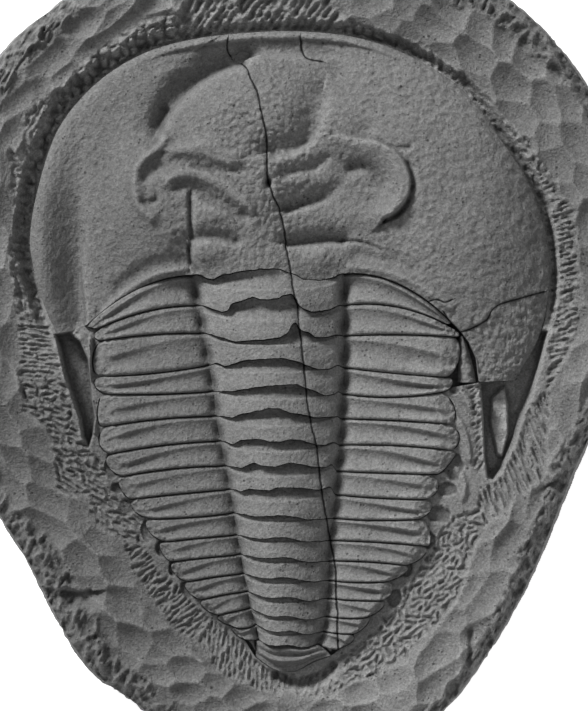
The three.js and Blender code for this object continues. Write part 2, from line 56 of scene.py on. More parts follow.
# Sizes shared by the slab and the animal, in millimetres
SLAB_WIDTH = 246.6
SLAB_LENGTH = 302.4
BED_HEIGHT = 22.0
FIT_GAP = 0.3
SEAM_GAP = 0.34
RIM_HEIGHT = 32.0
EDGE_HEIGHT = 25.0
MARGIN_HEIGHT = 27.0
HEAD_LIMIT = 39.6
RING_HEIGHT = 39.0
LAST_RING_HEIGHT = 32.5
PLEURA_HEIGHT = 31.0
LAST_PLEURA_HEIGHT = 28.4
TIP_DROP = 3.6
FURROW_HEIGHT = 27.6
LAST_FURROW_HEIGHT = 25.6
SEGMENTS = 16
FAR = 50.0
HUB = np.array([-2.7, 27.0])

# Outer edge of the slab, anticlockwise from the lower right
SLAB_POINTS: Points = (
    (37, -137.5), (51.5, -125), (62, -113.5), (82.5, -81), (104.5, -30), (115.5, -7),
    (122, 16), (123.5, 43), (121, 67), (114.5, 90), (98.5, 117), (77.5, 137.5), (56, 146),
    (26, 151), (-10, 151.5), (-42.5, 150), (-69, 146.5), (-94, 131.5), (-111, 114),
    (-121, 72), (-123, 41.5), (-123.5, 12.5), (-114.5, -41.5), (-100, -67.5), (-82, -101),
    (-73, -111.5), (-58.5, -121.5), (-42.5, -137), (-24.5, -148), (-2.5, -151.5), (19, -147),
)

# Front of the head shield, from the broken left cheek corner round to the broken right one
HEAD_POINTS: Points = (
    (-87, 15), (-92, 27), (-96, 43), (-96.5, 49.5), (-94, 65.5), (-87, 87.5), (-79, 99),
    (-68, 109), (-54.5, 116.5), (-38, 121), (-19, 123.5), (2.5, 124), (22.5, 121.5),
    (40.5, 115), (55.5, 106), (61, 101), (73, 85), (83, 70), (89, 53), (91, 34), (87.5, 14.5),
    (78.5, -2),
)
LEFT_CORNER: Points = ((-87, 15), (-81, 16))
RIGHT_CORNER: Points = ((59, 15.5), (62, 11.5), (64.5, 6), (65.5, -2.5), (78.5, -2))

# Where the columns of the head shield leave its back margin and meet its front
HEAD_ANCHORS = (
    ((-87, 15), (-87, 15)), ((-76, 18), (-95.5, 57.5)), ((-56.5, 31.5), (-79, 99)),
    ((-38, 36), (-50, 118)), ((17, 36.5), (31.5, 119)), ((36, 33), (61, 101)),
    ((54.5, 20), (86, 62)), ((64.5, 6), (90.5, 22)), ((78.5, -2), (78.5, -2)),
)

# Seams across the body, head to tail: left tip, left middle, left furrow, right furrow,
# right middle, right tip
SEAM_POINTS: tuple[Points, ...] = (
    ((-76, 18), (-56.5, 31.5), (-38, 36), (17, 36.5), (36, 33), (54.5, 20)),
    ((-72, 16.5), (-54, 23), (-36, 25), (17, 25), (36, 24.5), (54, 18)),
    ((-72, 12), (-52.5, 14.5), (-34, 15), (17, 14), (37, 14.5), (58.5, 13.5)),
    ((-73, -0.5), (-52.5, 0.5), (-32, 3.5), (17, 2.5), (36, 0.5), (55.5, -1)),
    ((-70.5, -7), (-50, -7), (-30.5, -6), (16.5, -7), (35.5, -8), (53.5, -6)),
    ((-71, -19), (-50, -16), (-29.5, -15), (16, -16), (36, -16.5), (57, -18)),
    ((-69.5, -29), (-49, -25.5), (-28, -24), (15.5, -25.5), (36, -25.5), (57, -27.5)),
    ((-64.5, -37), (-46, -34), (-26, -33), (14.5, -35), (33.5, -35.5), (50.5, -36)),
    ((-60.5, -45), (-43, -43), (-24.5, -41.5), (14, -43.5), (30.5, -44.5), (48.5, -45)),
    ((-55.5, -52), (-39.5, -51.5), (-23, -50), (13, -52), (29, -52.5), (45.5, -52)),
    ((-49.5, -60.5), (-36, -59), (-22, -58), (11.5, -60), (30.5, -60.5), (47.5, -62)),
    ((-46, -67.5), (-32.5, -66), (-20.5, -65), (11.5, -67.5), (25.5, -67.5), (40.5, -69)),
    ((-41, -75), (-30, -73), (-19.5, -72), (11.5, -74.5), (22.5, -75), (34, -74.5)),
    ((-35.5, -81.5), (-27, -79.5), (-18, -78.5), (11, -81), (21, -81.5), (32, -81.5)),
    ((-29.5, -87), (-23, -85.5), (-17, -84.5), (10.5, -87.5), (18, -88), (26, -87.5)),
    ((-23.5, -91), (-18.5, -91.5), (-15, -90.5), (9.5, -93), (15.5, -93.5), (21, -93.5)),
    ((-19.5, -95.5), (-16.5, -96), (-14, -96), (7.5, -97.5), (11.5, -99), (16, -99)),
)
TAIL_POINTS: Points = ((-15, -102), (-8, -106.5), (-1, -107), (6, -103.5), (12, -101.5))

# Back edges of the axial rings where they are chipped away, by ring
CHIPPED_EDGES: dict[int, Points] = {
    1: ((-35, 25), (-31.5, 24), (-27, 22.5), (-25, 23), (-24, 25.5), (-20.5, 26.5), (-18, 27.5),
        (-16, 28), (-13.5, 27), (-10, 27), (-7, 27.5), (-5.5, 28.5), (-2, 29), (-0.5, 27),
        (0.5, 25), (2, 24), (5, 22.5), (9, 23), (12.5, 24), (15.5, 25.5)),
    2: ((-31, 14.5), (-28, 13.5), (-22.5, 12), (-13, 12.5), (-10, 13), (-6.5, 13.5),
        (-3.5, 15), (-2, 18), (-0.5, 19), (0.5, 17), (1.5, 16), (4.5, 15), (6.5, 13.5),
        (10, 13.5), (16, 15)),
    3: ((-29.5, 4.5), (-26, 3), (-22.5, 4), (-20.5, 5), (-15.5, 5.5), (-5, 6), (1, 4.5),
        (4.5, 3), (7.5, 2), (11.5, 2), (15.5, 4)),
    4: ((-28, -6), (-23.5, -6), (-20.5, -5.5), (-15.5, -4.5), (-5, -3.5), (0, -3.5),
        (2.5, -4.5), (6.5, -6), (10, -7.5), (13.5, -7), (15.5, -4.5)),
    5: ((-27, -15), (-23.5, -15.5), (-20.5, -14), (-17, -13.5), (-10, -12), (-6.5, -12),
        (-2.5, -13.5), (2.5, -14.5), (8, -15.5), (13.5, -15), (15, -13.5)),
    6: ((-26.5, -24), (-23.5, -25), (-20.5, -23.5), (-13, -23), (-10, -24), (-5.5, -24),
        (-2.5, -23), (1, -23.5), (4.5, -24.5), (10, -25.5), (13.5, -24)),
    7: ((-25, -33), (-20.5, -33.5), (-18, -32.5), (-15.5, -31.5), (-13, -32.5), (-8, -33),
        (-2.5, -31.5), (1, -32), (4.5, -33), (10, -33.5), (13.5, -31.5)),
    8: ((-23.5, -41), (-20.5, -42), (-17, -41), (-10, -41.5), (-8, -40.5), (1, -40.5),
        (4.5, -41), (8, -41.5), (12.5, -40)),
}

# The long crack down the animal and the finer ones in its right cheek
LONG_CRACK: Points = (
    (-21.5, 114), (-18.5, 110.5), (-16.5, 106), (-14, 100), (-13, 94.5), (-11.5, 88), (-11, 81),
    (-10.5, 70), (-9, 65), (-6.5, 59.5), (-5, 53), (-4, 45.5), (-2.5, 38), (-1.5, 30.5),
    (0, 24.5), (0.5, 18), (1.5, 11), (2.5, 1), (3.5, -9), (5, -18), (7, -26), (8, -36),
    (9, -44), (10.5, -52), (12, -61), (13.5, -68.5), (14, -77.5), (14.5, -86.5), (14.5, -95.5),
    (15.5, -105.5), (15.5, -113.5),
)
CORNER_CRACK: Points = (
    (89, 30), (85, 29), (80, 27.5), (76, 26.5), (73, 25.5), (70, 23.5), (68, 20), (63, 17),
    (59, 15.5),
)
CHEEK_CRACKS: tuple[Points, ...] = (
    ((47.5, 26.5), (50, 27), (53, 26), (55.5, 27)), ((52.5, 22.5), (55, 18.5)),
    ((-25, 121.5), (-25.5, 118), (-24, 115)), ((1, 122), (1.5, 118), (3, 114.5), (9, 113)),
)


def smooth(low: float, high: float, value: Array | float) -> Array:
    """Return the smoothstep of value between low and high."""
    share = np.clip((value - low) / (high - low), 0.0, 1.0)
    return share * share * (3 - 2 * share)


def mix(a: Array | float, b: Array | float, share: Array | float) -> Array:
    """Return the value a share of the way from a to b."""
    return a + (b - a) * share


def bell(distance: Array, width: float) -> Array:
    """Return a bump that is 1 at no distance and fades over width."""
    return np.exp(-np.square(distance / width))


def put(name: str, data: bpy.types.ID) -> bpy.types.Object:
    """Return a new object, linked to the scene."""
    item = bpy.data.objects.new(name, data)
    bpy.context.scene.collection.objects.link(item)
    return item


class Noise:
    """Repeatable random relief over the plane, in numpy."""

    @staticmethod
    def lattice(ix: Array, iy: Array, seed: int) -> Array:
        """Return a fixed random number between -1 and 1 for each lattice point."""
        n = ix * 374761393 + iy * 668265263 + seed * 974711
        n = (n ^ (n >> 13)) * 1274126177
        n = n & 0x7FFFFFFF
        n = n ^ (n >> 15)
        return (n & 0xFFFF) / 32767.5 - 1.0

    @classmethod
    def value(cls, xy: Array, size: float, seed: int) -> Array:
        """Return soft noise between -1 and 1 whose lumps are size apart."""
        scaled = xy / size
        cell = np.floor(scaled).astype(np.int64)
        part = scaled - cell
        soft = part * part * (3 - 2 * part)
        ix, iy = cell[:, 0], cell[:, 1]
        low = mix(cls.lattice(ix, iy, seed), cls.lattice(ix + 1, iy, seed), soft[:, 0])
        high = mix(cls.lattice(ix, iy + 1, seed), cls.lattice(ix + 1, iy + 1, seed), soft[:, 0])
        return mix(low, high, soft[:, 1])

    @classmethod
    def layered(cls, xy: Array, size: float, seed: int, layers: int = 4,
                gain: float = 0.5) -> Array:
        """Return noise summed over layers, each half the size of the last.

        Args:
            xy: Places, one row each.
            size: Distance between the largest lumps.
            seed: Picks the pattern.
            layers: Number of layers.
            gain: Strength of each layer against the one before it.

        Returns:
            One value for each place, roughly between -1 and 1.
        """
        total = np.zeros(len(xy))
        strength, sum_of = 1.0, 0.0
        turn = np.array([[0.8, -0.6], [0.6, 0.8]])
        for layer in range(layers):
            total += strength * cls.value(xy, size, seed + 17 * layer)
            sum_of += strength
            strength *= gain
            size /= 2.03
            xy = xy @ turn
        return total / sum_of

    @classmethod
    def cells(cls, xy: Array, size: float, seed: int) -> tuple[Array, Array]:
        """Return the distances to the nearest and second nearest of scattered points.

        Args:
            xy: Places, one row each.
            size: Average distance between the scattered points.
            seed: Picks the pattern.

        Returns:
            Two arrays of distances, in units of size.
        """
        scaled = xy / size
        cell = np.floor(scaled).astype(np.int64)
        nearest = np.full(len(xy), 9.0)
        second = np.full(len(xy), 9.0)
        for dx in (-1, 0, 1):
            for dy in (-1, 0, 1):
                ix, iy = cell[:, 0] + dx, cell[:, 1] + dy
                px = ix + 0.5 + 0.45 * cls.lattice(ix, iy, seed)
                py = iy + 0.5 + 0.45 * cls.lattice(ix, iy, seed + 5)
                reach = np.hypot(scaled[:, 0] - px, scaled[:, 1] - py)
                second = np.minimum(second, np.maximum(nearest, reach))
                nearest = np.minimum(nearest, reach)
        return nearest, second


class Trace:
    """A smooth path or loop drawn on the slab through a few chosen points."""

    CHUNK = 12000

    def __init__(self, knots: Points | Array, closed: bool = False, step: float = 1.0,
                 straight: bool = False) -> None:
        """Draw the path.

        Args:
            knots: Points that it passes through.
            closed: Whether it is a loop.
            step: Distance between the points that it is drawn with.
            straight: Whether it runs straight from knot to knot.
        """
        self.closed = closed
        knots = np.asarray(knots, dtype=float)
        self.points = knots if straight else self._curve(knots, closed, step)

    @staticmethod
    def _curve(knots: Array, closed: bool, step: float) -> Array:
        """Return points along a centripetal curve through the knots."""
        if closed:
            padded = np.vstack([knots[-1], knots, knots[0], knots[1]])
        else:
            first = 2 * knots[0] - knots[1]
            last = 2 * knots[-1] - knots[-2]
            padded = np.vstack([first, knots, last])
        drawn = []
        for a, b, c, d in zip(padded, padded[1:], padded[2:], padded[3:]):
            t1 = math.dist(a, b) ** 0.5
            t2 = t1 + math.dist(b, c) ** 0.5
            t3 = t2 + math.dist(c, d) ** 0.5
            count = max(2, int(math.dist(b, c) / step))
            t = np.linspace(t1, t2, count, endpoint=False)[:, None]
            ab = mix(a, b, t / t1)
            bc = mix(b, c, (t - t1) / (t2 - t1))
            cd = mix(c, d, (t - t2) / (t3 - t2))
            abc = mix(ab, bc, t / t2)
            bcd = mix(bc, cd, (t - t1) / (t3 - t1))
            drawn.append(mix(abc, bcd, (t - t1) / (t2 - t1)))
        points = np.vstack(drawn)
        return points if closed else np.vstack([points, knots[-1]])

    def lengths(self) -> Array:
        """Return how far along the path each of its points lies, and the whole length last."""
        points = np.vstack([self.points, self.points[0]]) if self.closed else self.points
        return np.concatenate([[0.0], np.cumsum(np.hypot(*np.diff(points, axis=0).T))])

    def at(self, share: Array) -> Array:
        """Return the places at shares of the path's length.

        Args:
            share: Shares, from 0 at its start to 1 at its end.

        Returns:
            The places.
        """
        lengths = self.lengths()
        points = np.vstack([self.points, self.points[0]]) if self.closed else self.points
        wanted = np.asarray(share) * lengths[-1]
        return np.column_stack([np.interp(wanted, lengths, points[:, k]) for k in (0, 1)])

    def share_of(self, place: tuple[float, float]) -> float:
        """Return how far along the path, from 0 to 1, its nearest point to a place lies."""
        reach = np.hypot(*(self.points - np.asarray(place)).T)
        lengths = self.lengths()
        return float(lengths[int(np.argmin(reach))] / lengths[-1])

    def signed(self, xy: Array) -> Array:
        """Return the distance to the path: positive inside a loop, or left of an open path.

        Args:
            xy: Places, one row each.

        Returns:
            One signed distance for each place.
        """
        starts = self.points
        ends = np.roll(starts, -1, axis=0) if self.closed else starts[1:]
        starts = starts if self.closed else starts[:-1]
        along = ends - starts
        square = np.maximum((along ** 2).sum(axis=1), 1e-9)
        result = np.empty(len(xy))
        for first in range(0, len(xy), self.CHUNK):
            part = xy[first:first + self.CHUNK]
            dx = part[:, None, 0] - starts[None, :, 0]
            dy = part[:, None, 1] - starts[None, :, 1]
            share = np.clip((dx * along[:, 0] + dy * along[:, 1]) / square, 0, 1)
            reach = np.hypot(dx - share * along[:, 0], dy - share * along[:, 1])
            nearest = reach.argmin(axis=1)
            rows = np.arange(len(part))
            distance = reach[rows, nearest]
            if self.closed:
                above = starts[:, 1] > part[:, None, 1]
                crossing = above != (ends[:, 1] > part[:, None, 1])
                with np.errstate(divide="ignore", invalid="ignore"):
                    edge = dx * along[:, 1] - along[:, 0] * dy
                hits = crossing & (np.where(along[:, 1] > 0, edge < 0, edge > 0))
                side = np.where(hits.sum(axis=1) % 2 == 1, 1.0, -1.0)
            else:
                turn = along[nearest, 0] * dy[rows, nearest] - along[nearest, 1] * dx[rows, nearest]
                side = np.where(turn >= 0, 1.0, -1.0)
            result[first:first + self.CHUNK] = distance * side
        return result

    def distance(self, xy: Array) -> Array:
        """Return the distance to the path, without a sign."""
        return np.abs(self.signed(xy))

    def reach(self, angles: Array) -> Array:
        """Return how far the loop lies from the hub in each direction."""
        a = self.points - HUB
        edge = np.roll(a, -1, axis=0) - a
        ray = np.column_stack([np.cos(angles), np.sin(angles)])
        across = ray[:, 0:1] * edge[:, 1] - ray[:, 1:2] * edge[:, 0]
        across = np.where(np.abs(across) < 1e-9, 1e-9, across)
        share = -(a[:, 1] * ray[:, 0:1] - a[:, 0] * ray[:, 1:2]) / across
        x, y = (a[:, k] + share * edge[:, k] for k in (0, 1))
        far = x * ray[:, 0:1] + y * ray[:, 1:2]
        return np.where((share >= 0) & (share <= 1), far, 0).max(axis=1)


class Slot(Enum):
    """Finish slots of the record."""

    MATRIX = "matrix_stone"
    FOSSIL = "fossil_stone"


class NodeBench:
    """Adds nodes to a tree, with their inputs set or linked as they are made."""

    def __init__(self, tree: bpy.types.NodeTree) -> None:
        """Keep the tree."""
        self.tree = tree

    def add(self, kind: str, inputs: dict[str | int, object] | None = None,
            **options: str) -> bpy.types.Node:
        """Add a node.

        Args:
            kind: Its type.
            inputs: For each input, by name or number, its value or the output it is linked to.
            options: Settings of the node, such as its operation.

        Returns:
            The node.
        """
        node = self.tree.nodes.new(kind)
        for name, option in options.items():
            setattr(node, name, option)
        for key, given in (inputs or {}).items():
            if isinstance(given, Socket):
                self.tree.links.new(given, node.inputs[key])
            else:
                node.inputs[key].default_value = given
        return node


class MaterialBench(NodeBench):
    """Builds a material whose patterns read Object coordinates."""

    def __init__(self, name: str) -> None:
        """Start an empty material."""
        self.material = bpy.data.materials.new(name)
        self.material.use_nodes = True
        super().__init__(self.material.node_tree)
        self.tree.nodes.clear()
        self.place = self.add("ShaderNodeTexCoord").outputs["Object"]

    def finish(self, inputs: dict[str | int, object]) -> bpy.types.Material:
        """Give the surface its inputs and return the material."""
        shader = self.add("ShaderNodeBsdfPrincipled", inputs)
        self.add("ShaderNodeOutputMaterial", {"Surface": shader.outputs["BSDF"]})
        return self.material

    def noise(self, size: float, detail: float) -> Socket:
        """Return noise whose lumps are size millimetres apart."""
        return self.add("ShaderNodeTexNoise", {
            "Scale": 1 / (size * MM), "Detail": detail, "Roughness": 0.65, "Vector": self.place,
        }).outputs["Fac"]

    def ranged(self, value: Socket, low: float, high: float, start: float = 0.3,
               end: float = 0.7) -> Socket:
        """Return value stretched from start..end to low..high."""
        return self.add("ShaderNodeMapRange", {
            "Value": value, "From Min": start, "From Max": end, "To Min": low, "To Max": high,
        }).outputs["Result"]

    def combine(self, how: str, a: Socket, b: Socket | float) -> Socket:
        """Return two values put together by a sum, product or the like."""
        return self.add("ShaderNodeMath", {0: a, 1: b}, operation=how).outputs["Value"]

    def attribute(self, name: str) -> Socket:
        """Return a number that the mesh carries."""
        return self.add("ShaderNodeAttribute", attribute_name=name).outputs["Fac"]


@dataclass(frozen=True)
class StoneFinish:
    """Dry fine-grained stone: mottled grey and pitted, with painted shade in its pits and cracks.

    Mottle is how much the tone varies in broad patches; the third number is how much it varies in
    small ones, and how strongly the grain is painted lighter on its tops and darker in its dips.
    Grain and pitting are how high the fine relief stands, in millimetres.
    """

    name: str
    slot: Slot
    tone: float
    mottle: float
    speckle_and_grain_shade: float
    roughness: float
    grain: float
    pitting: float

    SHINE: ClassVar[float] = 0.32
    PIT_SPACING: ClassVar[float] = 2.0
    # Darkest painted shade in the pits and in the cracks.
    PIT_PAINTED_SHADE: ClassVar[float] = 0.45
    CRACK_PAINTED_SHADE: ClassVar[float] = 0.14
    CRACK_WIDTH: ClassVar[tuple[float, float]] = (0.14, 0.42)

    def material(self) -> bpy.types.Material:
        """Return the finish as a node material."""
        bench = MaterialBench(self.name)
        marks = bench.noise(1.0, 4), self._pits(bench), self._gap(bench)
        rough = bench.ranged(bench.noise(1.6, 3), self.roughness - 0.1, self.roughness + 0.06)
        return bench.finish({
            "Specular IOR Level": self.SHINE, "Roughness": rough,
            "Base Color": self._colour(bench, marks),
            "Normal": self._relief(bench, marks),
        })

    def _colour(self, bench: MaterialBench, marks: tuple[Socket, ...]) -> Socket:
        """Return the mottled grey of the stone, with painted shade in its pits, cracks and grain
        dips.

        Args:
            bench: The material's nodes.
            marks: The grain, the pits and the cracks.

        Returns:
            The colour.
        """
        grain, pits, gap = marks
        # The mesh's tone carries painted light and shade. The grain is also the bump's height, and
        # it is painted lighter on its tops and darker in its dips. The other noises vary the tone
        # at random.
        tint = bench.attribute("tone_and_painted_light")
        for value, spread, start, end in (
                (bench.noise(24, 3), self.mottle, 0.3, 0.7),
                (bench.noise(3.2, 4), self.mottle, 0.3, 0.7),
                (grain, self.speckle_and_grain_shade, 0.34, 0.66),
                (bench.noise(0.55, 2), 0.8 * self.speckle_and_grain_shade, 0.3, 0.7)):
            part = bench.ranged(value, 1 - spread, 1 + spread, start, end)
            tint = bench.combine("MULTIPLY", tint, part)
        # Painted shade in the pits and the cracks.
        for value, darkest in ((pits, self.PIT_PAINTED_SHADE), (gap, self.CRACK_PAINTED_SHADE)):
            part = bench.ranged(value, darkest, 1.0, 0.0, 1.0)
            tint = bench.combine("MULTIPLY", tint, part)
        return bench.add("ShaderNodeCombineColor", {
            channel: bench.combine("MULTIPLY", tint, self.tone * share)
            for channel, share in (("Red", 1.0), ("Green", 1.0), ("Blue", 0.99))
        }).outputs["Color"]

    def _pits(self, bench: MaterialBench) -> Socket:
        """Return 0 in the small pits and 1 outside them."""
        cells = bench.add("ShaderNodeTexVoronoi", {
            "Scale": 1 / (self.PIT_SPACING * MM), "Vector": bench.place})
        crowd = bench.ranged(bench.noise(7, 2), 0.22, -0.1, 0.35, 0.68)
        spread = bench.combine("ADD", cells.outputs["Distance"], crowd)
        return bench.ranged(spread, 0.0, 1.0, 0.08, 0.2)

    def _gap(self, bench: MaterialBench) -> Socket:
        """Return 0 inside a crack and 1 away from it."""
        reach = bench.combine("ABSOLUTE", bench.attribute("crack"), 0.0)
        loose = bench.ranged(bench.noise(3.0, 2), -0.1, 0.12)
        opened = bench.ranged(bench.combine("ADD", reach, loose), 0.0, 1.0, *self.CRACK_WIDTH)
        shown = bench.ranged(bench.attribute("cracked"), 1.0, 0.0, 0.0, 1.0)
        return bench.combine("MAXIMUM", opened, shown)

    def _relief(self, bench: MaterialBench, marks: tuple[Socket, ...]) -> Socket:
        """Return the normal of the finest relief: grain, pits and the crack's lips.

        Args:
            bench: The material's nodes.
            marks: The grain, the pits and the cracks.

        Returns:
            The normal.
        """
        grain, pits, gap = marks
        height = bench.combine("MULTIPLY", grain, self.grain)
        for value, strength in ((bench.noise(2.6, 3), 0.9 * self.grain), (pits, self.pitting),
                                (gap, 0.5)):
            part = bench.combine("MULTIPLY", value, strength)
            height = bench.combine("ADD", height, part)
        return bench.add("ShaderNodeBump", {
            "Strength": 1.0, "Distance": MM, "Height": height}).outputs["Normal"]


MATRIX_FINISH = StoneFinish("dry_matrix", Slot.MATRIX, 0.194, 0.09, 0.25, 0.9, 0.75, 0.25)
FOSSIL_FINISH = StoneFinish("fossil_shell", Slot.FOSSIL, 0.2, 0.08, 0.23, 0.84, 0.6, 0.22)


@dataclass
class Shape:
    """Corners and faces of one closed body, in millimetres."""

    corners: Array
    faces: list[list[int]]

    @classmethod
    def from_sheet(cls, grid: Array, floor: float, drop: tuple[float, ...] = (0.35, 1.0)
                   ) -> "Shape":
        """Close a sheet of points below with walls and a flat underside.

        Args:
            grid: Rows of places, back to front, each from left to right.
            floor: Height of the underside.
            drop: How far down the walls their rows lie, as shares.

        Returns:
            The closed body.
        """
        rows, columns, _ = grid.shape
        corners = [grid.reshape(-1, 3)]
        index = np.arange(rows * columns).reshape(rows, columns)
        quads = [np.stack([index[:-1, :-1], index[:-1, 1:], index[1:, 1:], index[1:, :-1]],
                          axis=-1).reshape(-1, 4)]
        rim = np.concatenate([index[0, :-1], index[:-1, -1], index[-1, :0:-1], index[:0:-1, 0]])
        top = grid.reshape(-1, 3)[rim]
        above = rim
        for share in drop:
            level = top.copy()
            level[:, 2] = mix(top[:, 2], floor, share)
            below = np.arange(len(rim)) + sum(map(len, corners))
            corners.append(level)
            quads.append(np.stack([above, below, np.roll(below, -1), np.roll(above, -1)], axis=-1))
            above = below
        faces = np.vstack(quads).tolist()
        faces.append(above[::-1].tolist())
        return cls(np.vstack(corners), faces)

    @classmethod
    def from_rings(cls, rings: Array) -> "Shape":
        """Close a stack of rings, the lowest outer one first, with a face at each end."""
        levels, stations, _ = rings.shape
        index = np.arange(levels * stations).reshape(levels, stations)
        after = np.roll(index, -1, axis=1)
        quads = np.stack([index[:-1], after[:-1], after[1:], index[1:]], axis=-1)
        faces = quads.reshape(-1, 4).tolist()
        faces.append(index[0, ::-1].tolist())
        faces.append(index[-1].tolist())
        return cls(rings.reshape(-1, 3), faces)

    @classmethod
    def from_tube(cls, rings: Array) -> "Shape":
        """Close a stack of rings on itself, from the last ring back to the first."""
        levels, stations, _ = rings.shape
        index = np.arange(levels * stations).reshape(levels, stations)
        after = np.roll(index, -1, axis=1)
        above = np.roll(index, -1, axis=0)
        quads = np.stack([index, after, np.roll(after, -1, axis=0), above], axis=-1)
        return cls(rings.reshape(-1, 3), quads.reshape(-1, 4).tolist())


@dataclass
class Piece:
    """One finished mesh of the model, hung on the frame."""

    name: str
    nodes: tuple[str, ...]
    finish: StoneFinish
    shape: Shape
    numbers: dict[str, Array] = field(default_factory=dict)

    @classmethod
    def shell(cls, node: str, shape: Shape, numbers: dict[str, Array]) -> "Piece":
        """Return a plate of the animal, which takes the place of one node."""
        return cls(f"shell_{node}", (node,), FOSSIL_FINISH, shape, numbers)

    def place(self) -> bpy.types.Object:
        """Make the mesh, dress it, hang it on the frame and return its object."""
        mesh = bpy.data.meshes.new(self.name)
        mesh.from_pydata((self.shape.corners * MM).tolist(), [], self.shape.faces)
        mesh.shade_smooth()
        mesh.set_sharp_from_angle(angle=math.radians(75))
        for name, values in self.numbers.items():
            layer = mesh.attributes.new(name, "FLOAT", "POINT")
            layer.data.foreach_set("value", np.asarray(values, dtype=np.float32))
        piece = put(self.name, mesh)
        piece.data.materials.append(FinishShelf.get(self.finish))
        self.hang(piece, self.nodes, self.finish)
        return piece

    @staticmethod
    def hang(piece: bpy.types.Object, nodes: tuple[str, ...], finish: StoneFinish) -> None:
        """Fix a finished object to the frame in place of some of its nodes."""
        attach(piece, "root")
        if nodes:
            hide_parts(*nodes)
        LOG.info("%s: %d vertices, %d faces", piece.name, len(piece.data.vertices),
                 len(piece.data.polygons))


class FinishShelf:
    """Holds each finish's material once."""

    made: ClassVar[dict[str, bpy.types.Material]] = {}

    @classmethod
    def get(cls, finish: StoneFinish) -> bpy.types.Material:
        """Return the material of a finish, made on its first use."""
        if finish.name not in cls.made:
            cls.made[finish.name] = finish.material()
        return cls.made[finish.name]


@dataclass(frozen=True)
class Fold:
    """A ridge along a path, or a furrow where its height is negative.

    Its two sides can differ in width: left and right are seen along the path.
    """

    path: Points
    height: float
    left: float
    right: float | None = None
    start: float = 1.0
    end: float = 1.0

    def raised(self, xy: Array) -> Array:
        """Return how much the fold lifts each place.

        Args:
            xy: Places, one row each.

        Returns:
            The lifts.
        """
        right = self.left if self.right is None else self.right
        trace = Trace(self.path, step=0.7)
        margin = 3 * max(self.left, right)
        low, high = trace.points.min(axis=0) - margin, trace.points.max(axis=0) + margin
        near = np.all((xy > low) & (xy < high), axis=1)
        lift = np.zeros(len(xy))
        if near.any():
            reach = trace.signed(xy[near])
            width = np.where(reach > 0, self.left, right)
            share = self._along(trace, xy[near])
            lift[near] = self.height * mix(self.start, self.end, share) * bell(reach, width)
        return lift

    def _along(self, trace: Trace, xy: Array) -> Array | float:
        """Return how far along the path each place lies, where that matters."""
        if self.start == self.end:
            return 0.0
        a, b = trace.points[0], trace.points[-1]
        along = b - a
        return np.clip(((xy - a) @ along) / (along @ along), 0, 1)


@dataclass(frozen=True)
class Swell:
    """A broad rounded rise, or a hollow where its height is negative.

    Its reach is given to the left, right, front and back of its centre.
    """

    centre: tuple[float, float]
    reach: tuple[float, float, float, float]
    height: float

    def raised(self, xy: Array) -> Array:
        """Return how much the swell lifts each place."""
        left, right, front, back = self.reach
        across, along = (xy - np.array(self.centre, dtype=float)).T
        across = across / np.where(across < 0, left, right)
        along = along / np.where(along < 0, back, front)
        return self.height * np.exp(-np.hypot(across, along) ** 2.2)


